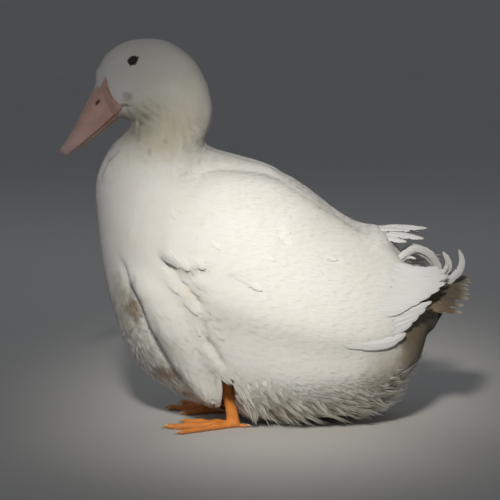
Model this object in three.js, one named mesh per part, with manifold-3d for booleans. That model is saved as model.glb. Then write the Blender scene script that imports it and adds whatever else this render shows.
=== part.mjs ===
// A white domestic duck drake at rest on its feet, life size, as a museum shows it.
// Millimetres, +Z up. The bird faces -Y, and its left side is +X. The origin is on the floor under the middle of the bird.
// The flesh and its plumage are lofted as one form, from the tail end forward over the trunk, up the neck and round the head, and then parted
// by thin cuts into the pieces that a person would name. Wings, thighs, tail, bill, eyes, legs and feet are separate solids that meet it.
import * as THREE from "three";
import { mergeVertices } from "three/addons/utils/BufferGeometryUtils.js";
import Module from "manifold-3d";

const wasm = await Module();
wasm.setup();

// ---- driving sizes, mm ----
const GAP = 0.35; // clearance between neighbouring solids
const RINGS = 38; // rings along the trunk, neck and head
const AROUND = 24; // points round each ring
const HALF_FEET = 36; // from the middle plane to the middle of each foot
const TARSUS_Y = -8; // where the tarsus meets the foot, fore and aft
const TOE_MIDDLE = 72; // middle toe, from the heel, without its claw
const EYE_R = 7.6; // eyeball radius
const EYE_OPEN = 4.9; // radius of the opening between the lids
const EYE = { y: -110, z: 382.5 }; // middle of the left eye, seen from the side
const WEB = 2.4; // web thickness
const MIDDLE_Y = 29.46; // middle of the bird's length, breast to tail tip, in the frame of the tables below
const CURL_T = 3; // thickness of a curled tail feather
const WING_VIEW = (38 * Math.PI) / 180; // the wing's outline is cut along this slant, halfway between the bird's side and its back

// Each station of the body is a section plane that holds the left-right direction. d is its point on the back line, v its point on the under line, both [y, z],
// w its half width, and a and b say how fast it widens from d and from v (0.5 and 0.5 is an ellipse, less is fuller). o is how far it is set out, if at all.
const st = (name, d, v, w, a = 0.5, b = 0.5, o = 0) => ({ name, d, v, w, a, b, o });
const BODY = [
  st("vent", [200, 138], [196, 94.5], 40, 0.5, 0.5),
  st("under tail", [184, 163], [185.5, 58.5], 62, 0.5, 0.48),
  st("rump", [161, 188], [164.5, 24], 80, 0.5, 0.44),
  st("abdomen", [134, 204], [133.5, 10], 92, 0.52, 0.4),
  st("loin", [97.5, 226.5], [93, 3], 101, 0.52, 0.4),
  st("middle back", [62, 253], [52, -1.5], 105, 0.5, 0.42),
  st("back", [30, 270], [8, 4], 105, 0.48, 0.47),
  st("shoulder", [2, 278.5], [-36.5, 17], 102, 0.48, 0.53),
  st("keel", [-18, 284.5], [-75, 34.5], 95, 0.5, 0.58),
  st("lower breast", [-28.5, 288.5], [-107, 60.5], 88, 0.52, 0.58),
  st("breast", [-34.5, 292.5], [-128.5, 102.5], 82, 0.56, 0.54),
  st("crop", [-36.5, 297], [-142, 158.5], 75, 0.58, 0.5),
  st("upper crop", [-35.5, 304], [-148.5, 212], 64, 0.56, 0.46),
  st("neck root", [-32.5, 311], [-150, 255], 53, 0.5, 0.46),
  st("lower neck", [-29.5, 319.5], [-136, 288.5], 43, 0.48, 0.48),
  st("neck", [-28.5, 329.5], [-116, 308], 37.5, 0.48, 0.48),
  st("upper neck", [-30.5, 343], [-113, 316.5], 34.5, 0.46, 0.5),
  st("nape", [-36, 361], [-117, 319.5], 33, 0.44, 0.48),
  st("back of head", [-49, 382.5], [-122, 321.5], 32, 0.43, 0.42),
  st("crown", [-72.5, 399.5], [-126.5, 322], 30.5, 0.44, 0.4),
  st("top of head", [-97.5, 403.5], [-130.5, 322.5], 28.5, 0.46, 0.4),
  st("brow", [-121, 399], [-134, 324], 24.5, 0.46, 0.42),
  st("forehead", [-138, 387.5], [-136.5, 327.5], 19, 0.46, 0.46),
  st("lore", [-147, 373], [-138.5, 333], 14, 0.5, 0.5),
];

// The bill's stations, from inside the head to the tip.
const BILL = [
  st("root", [-130, 376], [-111, 323.5], 12, 0.42, 0.4),
  st("base", [-146.5, 360.5], [-124.5, 320.5], 14.4, 0.46, 0.36),
  st("nostril", [-154.5, 345.5], [-133, 314.5], 14.6, 0.46, 0.34),
  st("saddle", [-162, 331.5], [-144.5, 305], 13.8, 0.44, 0.32),
  st("waist", [-169.5, 316.5], [-155.5, 296.5], 14, 0.42, 0.32),
  st("spoon", [-177.5, 303], [-166.5, 289.5], 15.2, 0.4, 0.34),
  st("nail", [-183.5, 292.5], [-176, 284.5], 13.2, 0.4, 0.4),
];
const GAPE = [-121, 335]; // corner of the mouth, [y, z]
const MOUTH_TIP = [-187, 279.5]; // where the mouth line reaches the tip

// ---- shape helpers ----
function spline(table, pick, t) {
  // Catmull-Rom through pick(station) at t in station numbers.
  const n = table.length - 1,
    i = Math.min(n - 1, Math.max(0, Math.floor(t))),
    f = t - i,
    g = (k) => pick(table[Math.min(n, Math.max(0, k))]);
  const [p0, p1, p2, p3] = [g(i - 1), g(i), g(i + 1), g(i + 2)];
  return (
    0.5 *
    (2 * p1 + (p2 - p0) * f + (2 * p0 - 5 * p1 + 4 * p2 - p3) * f * f + (3 * p1 - p0 - 3 * p2 + p3) * f * f * f)
  );
}
const at = (table, t) => ({
  d: [0, 1].map((k) => spline(table, (s) => s.d[k], t)),
  v: [0, 1].map((k) => spline(table, (s) => s.v[k], t)),
  w: spline(table, (s) => s.w, t),
  a: spline(table, (s) => s.a, t),
  b: spline(table, (s) => s.b, t),
  o: spline(table, (s) => s.o, t),
});
const fullness = (s, a, b) => {
  const m = a / (a + b);
  return (Math.max(s, 0) ** a * Math.max(1 - s, 0) ** b) / (m ** a * (1 - m) ** b);
};
// A ring at a station: out is how far it is grown; shift moves it along the loft and shrink narrows it, for the rounded ends.
function ring(s, around, out = 0, shift = 0, shrink = 1) {
  const dy = s.v[0] - s.d[0],
    dz = s.v[1] - s.d[1],
    len = Math.hypot(dy, dz),
    uy = dy / len,
    uz = dz / len,
    my = (s.d[0] + s.v[0]) / 2,
    mz = (s.d[1] + s.v[1]) / 2,
    half = (len / 2) * shrink + out,
    w = s.w * shrink + out;
  return Array.from({ length: around }, (_, j) => {
    const th = (2 * Math.PI * j) / around,
      q = (1 - Math.cos(th)) / 2,
      x = Math.abs(Math.sin(th)) < 1e-9 ? 0 : w * fullness(q, s.a, s.b) * Math.sign(Math.sin(th)),
      r = -half + 2 * half * q;
    return [x, my + uy * r + uz * shift, mz + uz * r - uy * shift];
  });
}
function geometryOf(points, faces) {
  const g = new THREE.BufferGeometry();
  g.setAttribute("position", new THREE.BufferAttribute(new Float32Array(points.flat()), 3));
  g.setIndex(faces.flat());
  return g;
}
// Closed skin over rings, with a point at each end. Its diagonals run alike on both sides, so that a ring's two halves stay mirror images.
function skinRings(rings, first, last) {
  const n = rings[0].length,
    points = [first, ...rings.flat(), last],
    faces = [],
    id = (i, j) => 1 + i * n + (j % n);
  for (let j = 0; j < n; j++) faces.push([0, id(0, j), id(0, j + 1)]);
  for (let i = 0; i + 1 < rings.length; i++)
    for (let j = 0; j < n; j++)
      if (j < n / 2) faces.push([id(i, j), id(i + 1, j), id(i + 1, j + 1)], [id(i, j), id(i + 1, j + 1), id(i, j + 1)]);
      else faces.push([id(i, j), id(i + 1, j), id(i, j + 1)], [id(i + 1, j), id(i + 1, j + 1), id(i, j + 1)]);
  const e = points.length - 1;
  for (let j = 0; j < n; j++) faces.push([e, id(rings.length - 1, j + 1), id(rings.length - 1, j)]);
  return geometryOf(points, faces);
}
// Loft over a station table with rounded ends that stand bulge0 and bulge1 beyond the first and last stations.
function loft(table, ringCount, around, { bulge0 = 10, bulge1 = 10, out = 0, caps = 3 } = {}) {
  const rings = [],
    first = at(table, 0),
    last = at(table, table.length - 1);
  const cap = (s, bulge, dir) =>
    Array.from({ length: caps }, (_, k) => {
      const f = ((k + 1) / (caps + 1)) * (Math.PI / 2);
      return ring(s, around, out, dir * Math.sin(f) * (bulge + out), Math.cos(f));
    });
  const apex = (s, bulge, dir) => {
    const dy = s.v[0] - s.d[0],
      dz = s.v[1] - s.d[1],
      len = Math.hypot(dy, dz),
      k = dir * (bulge + out);
    return [0, (s.d[0] + s.v[0]) / 2 + (dz / len) * k, (s.d[1] + s.v[1]) / 2 - (dy / len) * k];
  };
  rings.push(...cap(first, bulge0, -1).reverse());
  for (let i = 0; i < ringCount; i++) rings.push(ring(at(table, ((table.length - 1) * i) / (ringCount - 1)), around, out));
  rings.push(...cap(last, bulge1, 1));
  return skinRings(rings, apex(first, bulge0, -1), apex(last, bulge1, 1));
}
// ---- solids ----
function solidOf(geometry) {
  const g = geometry.clone();
  for (const k of Object.keys(g.attributes)) if (k !== "position") g.deleteAttribute(k);
  const m = mergeVertices(g, 1e-4);
  const make = (tri) => new wasm.Manifold(new wasm.Mesh({ numProp: 3, vertProperties: m.attributes.position.array, triVerts: tri }));
  const tri = new Uint32Array(m.index.array);
  let s = make(tri);
  if (s.volume() < 0) {
    for (let i = 0; i < tri.length; i += 3) [tri[i + 1], tri[i + 2]] = [tri[i + 2], tri[i + 1]];
    s = make(tri);
  }
  return s;
}
function geometryFrom(solid) {
  const m = solid.getMesh(),
    p = new Float32Array(m.numVert * 3);
  for (let i = 0; i < m.numVert; i++) p.set(m.vertProperties.subarray(i * m.numProp, i * m.numProp + 3), i * 3);
  const g = new THREE.BufferGeometry();
  g.setAttribute("position", new THREE.BufferAttribute(p, 3));
  g.setIndex(new THREE.BufferAttribute(new Uint32Array(m.triVerts), 1));
  return g;
}
const biggest = (s) => s.decompose().reduce((p, q) => (q.volume() > p.volume() ? q : p));
const moved = (g, x, y, z) => g.clone().translate(x, y, z);
const mirrored = (solid) => solid.mirror([1, 0, 0]);
// A large box whose face passes through p, q (both [y, z]) and holds the X direction; it lies on the left of the way from p to q.
function halfSpace(p, q, size = 900) {
  const g = new THREE.BoxGeometry(size, size, size),
    ang = Math.atan2(q[1] - p[1], q[0] - p[0]);
  g.translate(0, 0, size / 2);
  g.rotateX(ang);
  g.translate(0, (p[0] + q[0]) / 2, (p[1] + q[1]) / 2);
  return solidOf(g);
}
const shiftLine = (p, q, by) => {
  const l = Math.hypot(q[0] - p[0], q[1] - p[1]),
    n = [(-(q[1] - p[1]) / l) * by, ((q[0] - p[0]) / l) * by];
  return [
    [p[0] + n[0], p[1] + n[1]],
    [q[0] + n[0], q[1] + n[1]],
  ];
};

// ---- body: trunk, neck and head in one loft ----
const bodyEnds = { bulge0: 11, bulge1: 6 };
const bodySolid = solidOf(loft(BODY, RINGS, AROUND, bodyEnds));
const bodyGrown = solidOf(loft(BODY, RINGS, AROUND, { ...bodyEnds, out: GAP }));
const bodyMesh = geometryFrom(bodySolid);

// The body's half width at a point of the side view, or null outside it.
const sideX = (y, z) => widthOf(bodyMesh)(y, z);

// ---- tail: an arched fan of steering feathers with its coverts, and the drake's curled feathers ----
const TAIL = { rootY: 148, rootZ: 178, tipY: 243, tipZ: 151, rootHalf: 38, tipHalf: 59, rim: 9, droop: 30, root: 30, tip: 3, rows: 5, across: 12 };
function tailGeometry(grow = 0) {
  const { rows, across } = TAIL,
    top = [],
    bottom = [];
  for (let i = 0; i <= rows; i++) {
    const f = i / rows,
      half = TAIL.rootHalf + (TAIL.tipHalf - TAIL.rootHalf) * Math.sin((f * Math.PI) / 2),
      thick = TAIL.root + (TAIL.tip - TAIL.root) * f ** 0.6;
    for (let j = 0; j <= across; j++) {
      const c = (2 * j) / across - 1,
        // the feather ends make a row of soft points along a rounded rim
        rim = -TAIL.rim * f * c * c - 11 * f * c ** 8 + (f === 1 ? 2.6 * Math.cos(j * Math.PI) : 0),
        x = c * (half + grow),
        y = TAIL.rootY + (TAIL.tipY - TAIL.rootY) * f + rim + (f === 1 ? grow : 0),
        z = TAIL.rootZ + (TAIL.tipZ - TAIL.rootZ) * f ** 0.8 - TAIL.droop * c * c,
        t = Math.max(TAIL.tip, thick * (1 - 0.7 * c * c)) + grow * 2;
      top.push([x, y, z + t * 0.35]);
      bottom.push([x, y, z - t * 0.65]);
    }
  }
  return slab(top, bottom, rows, across);
}
// A closed slab between two grids of (rows + 1) x (across + 1) points.
function slab(top, bottom, rows, across) {
  const n = across + 1,
    N = top.length,
    faces = [];
  for (let i = 0; i < rows; i++)
    for (let j = 0; j < across; j++) {
      const [a, b, c, d] = [i * n + j, i * n + j + 1, (i + 1) * n + j + 1, (i + 1) * n + j];
      faces.push([a, b, c], [a, c, d], [N + a, N + c, N + b], [N + a, N + d, N + c]);
    }
  const wall = (a, b) => faces.push([a, N + a, N + b], [a, N + b, b]);
  for (let j = 0; j < across; j++) {
    wall(j, j + 1);
    wall(rows * n + j + 1, rows * n + j);
  }
  for (let i = 0; i < rows; i++) {
    wall(i * n + across, (i + 1) * n + across);
    wall((i + 1) * n, i * n);
  }
  return geometryOf([...top, ...bottom], faces);
}
// A curled feather: a band through way points, broad in the plane of its curl and thin across it.
function curl({ way, x0, x1, width }) {
  const path = new THREE.CatmullRomCurve3(way.map(([y, z], k) => new THREE.Vector3(x0 + ((x1 - x0) * k) / (way.length - 1), y, z))),
    n = 8,
    rings = [];
  for (let i = 0; i <= n; i++) {
    const f = i / n,
      p = path.getPoint(f),
      q = path.getTangent(f),
      l = Math.hypot(q.y, q.z),
      ny = -q.z / l,
      nz = q.y / l,
      w = (width / 2) * Math.max(0.16, Math.min(1, 0.45 + f * 2.2)) * Math.sqrt(Math.max(0.03, 1 - f ** 4)),
      t = (CURL_T / 2) * (1 - 0.35 * f);
    rings.push([
      [p.x - t, p.y - ny * w * 0.5, p.z - nz * w * 0.5],
      [p.x - t, p.y + ny * w * 0.5, p.z + nz * w * 0.5],
      [p.x, p.y + ny * w, p.z + nz * w],
      [p.x + t, p.y + ny * w * 0.5, p.z + nz * w * 0.5],
      [p.x + t, p.y - ny * w * 0.5, p.z - nz * w * 0.5],
      [p.x, p.y - ny * w, p.z - nz * w],
    ]);
  }
  const [s, e] = [path.getPoint(0), path.getPoint(1)];
  return skinRings(rings, [s.x, s.y, s.z], [e.x, e.y, e.z]);
}
const CURLS = [
  // way from root to end, [y, z]; sideways place of root and end; width
  { way: [[180, 160], [198, 156], [205.5, 164], [199, 176], [190, 184], [178, 187], [166, 180]], x0: 6, x1: 15, width: 7.5 },
  { way: [[184, 156], [200, 153], [208, 162], [201, 175], [191, 181], [180, 181]], x0: -6, x1: -16, width: 7 },
  { way: [[200, 150], [211, 156], [218, 167], [216, 176], [211, 182]], x0: 16, x1: 19, width: 6 },
  { way: [[208, 148], [220, 156], [229, 166], [230.5, 177], [226.5, 187]], x0: 26, x1: 30, width: 6 },
];

// ---- wings: a folded wing lies on each side of the trunk, and its tips stand off beside the tail ----
// Its outer face is the trunk's own form set out by the wing's thickness, carried on past the trunk's end.
const WING_HULL = [
  st("past the tips", [240, 150], [228, 116], 40, 0.5, 0.5, 0),
  st("tips", [216, 176], [208, 94], 59, 0.45, 0.5, 0),
  st("primaries", [190, 183], [192, 60], 71, 0.45, 0.48, 1),
  st("tertials", [163, 189], [165, 26], 82, 0.5, 0.44, 4),
  ...BODY.slice(3, 12).map((s, k) => ({ ...s, o: [7.5, 9, 9.5, 9, 8.5, 7, 5.5, 4, 3][k] })),
];
const WING_RINGS = 25;
const WING_FREE = 3.6; // thickness of the part that stands off
const WING_LOWER = [[-79, 182], [-72, 162], [-56, 147], [-36, 138], [0, 126], [45, 113], [90, 103], [122, 99]]; // [y, z]
const WING_TIPS = [[151, 97.5], [152.5, 102], [172, 108], [171, 112.5], [181.5, 116.5], [181.5, 121.5], [198.5, 133], [197, 138.5], [211.5, 151]]; // tips and the notches between them
const WING_UPPER = [[50, 207], [40, 180], [36, 140], [36, 95], [42, 45], [52, 0], [61, -36], [68, -60], [71, -74]]; // [x, y]
const hullRings = (outOf) =>
  Array.from({ length: WING_RINGS }, (_, i) => {
    const s = at(WING_HULL, ((WING_HULL.length - 1) * i) / (WING_RINGS - 1));
    return ring(s, AROUND, outOf(s, i / (WING_RINGS - 1)));
  });
const middleOf = (r) => r.reduce((p, q) => p.map((v, k) => v + q[k] / r.length), [0, 0, 0]);
const closeRings = (rings) => skinRings(rings, middleOf(rings[0]), middleOf(rings[rings.length - 1]));
// The largest half width of a closed mesh at a point of the side view, or null outside it.
function widthOf(geometry) {
  const p = geometry.attributes.position.array,
    ix = geometry.index.array;
  return (y, z) => {
    let best = null;
    for (let i = 0; i < ix.length; i += 3) {
      const [a, b, c] = [ix[i] * 3, ix[i + 1] * 3, ix[i + 2] * 3];
      const [ay, az, by, bz, cy, cz] = [p[a + 1], p[a + 2], p[b + 1], p[b + 2], p[c + 1], p[c + 2]];
      const det = (by - ay) * (cz - az) - (cy - ay) * (bz - az);
      if (Math.abs(det) < 1e-9) continue;
      const u = ((y - ay) * (cz - az) - (cy - ay) * (z - az)) / det,
        v = ((by - ay) * (z - az) - (y - ay) * (bz - az)) / det;
      if (u < -1e-6 || v < -1e-6 || u + v > 1 + 1e-6) continue;
      const x = p[a] + u * (p[b] - p[a]) + v * (p[c] - p[a]);
      if (best === null || x > best) best = x;
    }
    return best;
  };
}
// A prism over an outline of [y, s] points, run out along the slant; s is the height across the slant.
function slantPrism(outline, slant) {
  const shape = new THREE.Shape(outline.map(([y, s]) => new THREE.Vector2(y, s)));
  const g = new THREE.ExtrudeGeometry(shape, { depth: 700, bevelEnabled: false });
  g.translate(0, 0, -150);
  const [c, s] = [Math.cos(slant), Math.sin(slant)];
  g.applyMatrix4(new THREE.Matrix4().makeBasis(new THREE.Vector3(0, 1, 0), new THREE.Vector3(-s, 0, c), new THREE.Vector3(c, 0, s)));
  return solidOf(g);
}
const smoothLine = (pts, n) => new THREE.SplineCurve(pts.map(([u, v]) => new THREE.Vector2(u, v))).getPoints(n).map((p) => [p.x, p.y]);
function wingSolid() {
  const outer = closeRings(hullRings((s) => s.o)),
    inner = closeRings(hullRings((s, f) => s.o - WING_FREE - 60 * Math.max(0, f - 0.32)));
  const hullX = widthOf(outer);
  const across = (x, z) => z * Math.cos(WING_VIEW) - x * Math.sin(WING_VIEW);
  const lower = smoothLine(WING_LOWER, 16).map(([y, z]) => [y, across(hullX(y, z) ?? 60, z)]);
  const tips = WING_TIPS.map(([y, z]) => [y, across(hullX(y, z) ?? 58, z)]);
  const upper = smoothLine(WING_UPPER, 14).map(([x, y]) => {
    let z = 300;
    while (z > 60 && !((hullX(y, z) ?? 0) >= x)) z -= 0.5;
    return [y, across(x, z)];
  });
  const prism = slantPrism([...lower, ...tips, ...upper], WING_VIEW);
  const leftSide = solidOf(moved(new THREE.BoxGeometry(400, 900, 900), 204, 0, 200));
  return solidOf(outer).subtract(solidOf(inner)).intersect(prism).intersect(leftSide);
}

// ---- thighs: side plumage that hangs from the breast over the knee and ends in a point in front of the leg ----
// d is the rear edge and v the front edge of each station, w its half thickness, and x its middle, out from the middle plane.
const THIGH = [
  st("breast side", [-66, 192], [-112, 186], 13, 0.5, 0.5),
  st("upper", [-50, 169], [-117, 163], 24, 0.5, 0.5),
  st("flank", [-40, 145], [-106, 141], 31, 0.5, 0.5),
  st("above knee", [-35, 113], [-93, 110], 32, 0.5, 0.5),
  st("knee", [-29, 91], [-79, 88], 27, 0.5, 0.5),
  st("shin", [-22, 69], [-66, 66], 21, 0.5, 0.5),
  st("low", [-18, 47], [-50, 44], 14, 0.5, 0.5),
  st("point", [-18.5, 30], [-36, 28], 7, 0.5, 0.5),
  st("end", [-22, 21.5], [-29, 20.5], 3, 0.5, 0.5),
];
const THIGH_X = [58, 60, 62, 60, 58, 56, 53, 51, 50].map((x) => ({ x }));
function thighGeometry(grow = 0) {
  const count = 11,
    rings = [];
  for (let i = 0; i < count; i++) {
    const t = ((THIGH.length - 1) * i) / (count - 1),
      x = spline(THIGH_X, (s) => s.x, t);
    rings.push(ring(at(THIGH, t), 12, grow).map(([a, b, c]) => [a + x, b, c]));
  }
  return skinRings(rings, [57, -89, 195 + grow], [50, -25.5, 19 - grow]);
}

// ---- legs and feet ----
const LEG = [
  // the tarsus with its hock above, from the foot up into the plumage
  { y: 0.5, z: 4.6, rx: 7.0, ry: 7.6 },
  { y: 0, z: 12, rx: 5.2, ry: 6.4 },
  { y: -2, z: 24, rx: 4.8, ry: 6.2 },
  { y: -4.5, z: 36, rx: 5.2, ry: 6.8 },
  { y: -6.5, z: 46, rx: 6.8, ry: 8.4 },
  { y: -8, z: 56, rx: 7.0, ry: 8.8 },
  { y: -9, z: 64, rx: 6.0, ry: 7.6 },
];
function legGeometry() {
  const around = 10,
    rows = 8,
    rings = [];
  for (let i = 0; i <= rows; i++) {
    const t = ((LEG.length - 1) * i) / rows,
      g = (k) => spline(LEG, (s) => s[k], t);
    rings.push(
      Array.from({ length: around }, (_, j) => {
        const th = (2 * Math.PI * j) / around;
        return [HALF_FEET + g("rx") * Math.cos(th), TARSUS_Y + g("y") + g("ry") * Math.sin(th), g("z")];
      }),
    );
  }
  const end = LEG[LEG.length - 1];
  return skinRings(rings, [HALF_FEET, TARSUS_Y + LEG[0].y, LEG[0].z], [HALF_FEET, TARSUS_Y + end.y, end.z + 3]);
}
// A toe: a tapered rod with a flat sole, from the heel outwards, ending in a claw.
const TOES = [
  // length, angle outwards from straight ahead (degrees), radius at root and at end
  { len: TOE_MIDDLE, ang: 7, r0: 5.2, r1: 3.4 },
  { len: TOE_MIDDLE * 0.93, ang: 31, r0: 4.8, r1: 3.1 },
  { len: TOE_MIDDLE * 0.8, ang: -18, r0: 4.8, r1: 3.1 },
];
const HALLUX = { len: 14, ang: 168, r0: 3.2, r1: 2.2 };
function toeGeometry({ len, ang, r0, r1 }) {
  const around = 7,
    n = 5,
    rings = [],
    a = (ang * Math.PI) / 180;
  for (let i = 0; i <= n; i++) {
    const f = i / n,
      knuckle = 1 + 0.12 * Math.cos(f * 2 * Math.PI * 3),
      r = (r0 + (r1 - r0) * f) * knuckle * (f > 0.93 ? 0.8 : 1),
      s = len * f;
    rings.push(
      Array.from({ length: around }, (_, j) => {
        const th = (2 * Math.PI * (j + 0.5)) / around,
          across = r * Math.cos(th),
          up = Math.max(-r * 0.62, r * Math.sin(th)) + r * 0.62;
        return [HALF_FEET + Math.sin(a) * s + Math.cos(a) * across, TARSUS_Y + 2 - Math.cos(a) * s + Math.sin(a) * across, up];
      }),
    );
  }
  const tip = len + r1 * 2.1;
  return skinRings(
    rings,
    [HALF_FEET - Math.sin(a) * 3, TARSUS_Y + 2 + Math.cos(a) * 3, r0 * 0.5],
    [HALF_FEET + Math.sin(a) * tip, TARSUS_Y + 2 - Math.cos(a) * tip, r1 * 0.45],
  );
}
function webGeometry() {
  // webs between the toes: a flat fan whose front edge is hollow between each pair of toe ends
  const pts = [],
    spoke = (ang, len) => [HALF_FEET + Math.sin((ang * Math.PI) / 180) * len, TARSUS_Y + 2 - Math.cos((ang * Math.PI) / 180) * len],
    order = [TOES[2], TOES[0], TOES[1]];
  for (let k = 0; k < 2; k++) {
    const [p, q] = [order[k], order[k + 1]];
    for (let i = 0; i < 5; i++) {
      const f = i / 5,
        len = (p.len + (q.len - p.len) * f) * (0.965 - 0.17 * Math.sin(Math.PI * f));
      pts.push(spoke(p.ang + (q.ang - p.ang) * f, len));
    }
  }
  pts.push(spoke(order[2].ang, order[2].len * 0.965));
  const shape = new THREE.Shape();
  shape.moveTo(...spoke(180, 2));
  for (const [x, y] of pts) shape.lineTo(x, y);
  shape.closePath();
  return new THREE.ExtrudeGeometry(shape, { depth: WEB, bevelEnabled: false, curveSegments: 4 });
}

// ---- build the solids ----
const below = (z) => solidOf(moved(new THREE.BoxGeometry(900, 900, 400), 0, 0, z - 200));
let tailAll = solidOf(tailGeometry());
for (const c of CURLS) tailAll = tailAll.add(solidOf(curl(c)));
const tail = biggest(tailAll.subtract(bodyGrown));
const tailGrown = solidOf(tailGeometry(GAP));

const thigh = biggest(solidOf(thighGeometry()).subtract(bodyGrown));
const wing = biggest(wingSolid().subtract(bodyGrown).subtract(tailGrown).subtract(solidOf(thighGeometry(GAP))));

const legWhole = solidOf(legGeometry());
const ankle = solidOf(moved(new THREE.CylinderGeometry(9, 9, 30, 16).rotateX(Math.PI / 2), HALF_FEET, TARSUS_Y + 0.5, 4.25 + 15));
const foot = biggest([...TOES, HALLUX].map((t) => solidOf(toeGeometry(t))).reduce((p, q) => p.add(q)).add(solidOf(webGeometry())).subtract(ankle));
// Behind the knee the plumage parts in a pocket that shows the leg.
const POCKET = { x: 88, y: -9, z: 2, rx: 72, ry: 17, rz: 60 };
const pocket = (grow) =>
  solidOf(moved(new THREE.SphereGeometry(1, 14, 10).scale(POCKET.rx + grow, POCKET.ry + grow, POCKET.rz + grow), POCKET.x, POCKET.y, POCKET.z));
const legCut = legWhole.subtract(below(4.6)).subtract(solidOf(thighGeometry(GAP)));
const leg = biggest(legCut.subtract(bodyGrown).add(legCut.intersect(pocket(-GAP))));

// Two wisps of the upper tail coverts stand off the rump.
const WISPS = [
  { from: [0, 128, 198], to: [12, 195, 207.5], width: 22, thick: 5 },
  { from: [9, 138, 194], to: [20, 184, 199], width: 13, thick: 4.5 },
  { from: [-9, 138, 194], to: [-19, 187, 200], width: 13, thick: 4.5 },
];
function wispGeometry({ from, to, width, thick }) {
  const rings = [0.02, 0.35, 0.7, 0.93].map((f) => {
    const c = from.map((v, k) => v + (to[k] - v) * f),
      w = (width / 2) * (1 - f ** 2),
      t = (thick / 2) * (1 - 0.6 * f);
    return Array.from({ length: 8 }, (_, j) => {
      const th = (2 * Math.PI * j) / 8;
      return [c[0] + w * Math.cos(th), c[1], c[2] + t * Math.sin(th) - 5 * f * (1 - f)];
    });
  });
  return skinRings(rings, from, to);
}

// Head, neck and trunk are parted from the one loft.
const NECK_LOW = [[-20, 287], [-168, 222]]; // the cut between trunk and neck, back to front
const NECK_HIGH = [[-14, 341], [-118, 317]]; // the cut between neck and head
const cutPair = (solid, [p, q]) => {
  const [p1, q1] = shiftLine(p, q, GAP / 2),
    [p2, q2] = shiftLine(p, q, -GAP / 2);
  return [solid.intersect(halfSpace(p1, q1)), solid.subtract(halfSpace(p2, q2))];
};
// The line runs from back to front, so its left side, where halfSpace lies, is below it.
const [trunkSide, above] = cutPair(bodySolid, NECK_LOW);
const [neckSide, headSide] = cutPair(above, NECK_HIGH);
const trunk = WISPS.reduce((t, w) => t.add(solidOf(wispGeometry(w))), trunkSide)
  .subtract(below(0))
  .subtract(pocket(0))
  .subtract(mirrored(pocket(0)));

// The eyeball sits in the head so that only the opening between the lids shows it.
const eyeOut = new THREE.Vector3(
  1,
  (sideX(EYE.y - 4, EYE.z) - sideX(EYE.y + 4, EYE.z)) / 8,
  (sideX(EYE.y, EYE.z - 4) - sideX(EYE.y, EYE.z + 4)) / 8,
).normalize();
const eyeAt = new THREE.Vector3(sideX(EYE.y, EYE.z), EYE.y, EYE.z).addScaledVector(eyeOut, -Math.sqrt(EYE_R ** 2 - EYE_OPEN ** 2));
const ball = (r) => solidOf(moved(new THREE.SphereGeometry(r, 12, 9).rotateZ(-Math.PI / 2), ...eyeAt));
const eye = ball(EYE_R),
  socket = ball(EYE_R + GAP);
const head = biggest(headSide.subtract(socket).subtract(mirrored(socket)));
const billWhole = solidOf(loft(BILL, 11, 16, { bulge0: 4, bulge1: 8, caps: 2 })).subtract(bodyGrown);
const [billLow, billUp] = cutPair(biggest(billWhole), [GAPE, MOUTH_TIP]);

const parts = {
  trunk: biggest(trunk),
  neck: biggest(neckSide),
  head,
  bill_upper: biggest(billUp),
  bill_lower: biggest(billLow),
  eye_L: eye,
  eye_R: mirrored(eye),
  wing_L: wing,
  wing_R: mirrored(wing),
  tail,
  thigh_L: thigh,
  thigh_R: mirrored(thigh),
  leg_L: leg,
  leg_R: mirrored(leg),
  foot_L: foot,
  foot_R: mirrored(foot),
};

// ---- finishes ----
const plumage = () => new THREE.MeshStandardMaterial({ color: 0xf1efe9, roughness: 0.85, metalness: 0 });
const horn = () => new THREE.MeshStandardMaterial({ color: 0xdfa79b, roughness: 0.5, metalness: 0 });
const scaled = () => new THREE.MeshStandardMaterial({ color: 0xe07a2a, roughness: 0.55, metalness: 0 });
const glossy = () => new THREE.MeshStandardMaterial({ color: 0x0d0b0c, roughness: 0.08, metalness: 0 });
const finish = (name) =>
  name.startsWith("bill") ? horn() : name.startsWith("eye") ? glossy() : /^(leg|foot)/.test(name) ? scaled() : plumage();

const duck = new THREE.Group();
for (const [name, solid] of Object.entries(parts)) {
  const mesh = new THREE.Mesh(geometryFrom(solid), finish(name));
  mesh.name = name;
  duck.add(mesh);
}
// The origin goes to the floor under the middle of the bird's box.
duck.position.set(0, -MIDDLE_Y, 0);

export default duck;
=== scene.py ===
"""Looks of a white domestic duck drake, life size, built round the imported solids.

Lengths in the tables are millimetres in the frame of the part's own tables; place() turns them into the row frame in metres.
One skin stands for trunk, neck, head, thighs, wings and tail. Over it lies the plumage: small tufts on head and neck, contour
feathers on the body, stringy plumes under the belly, and whole vanes for wings, tail and the drake's curls. Bill, eyes, legs and feet are
pieces of their own.
"""
import math

import bpy
import numpy as np
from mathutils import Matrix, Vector
from mathutils.bvhtree import BVHTree
from mathutils.kdtree import KDTree


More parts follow.
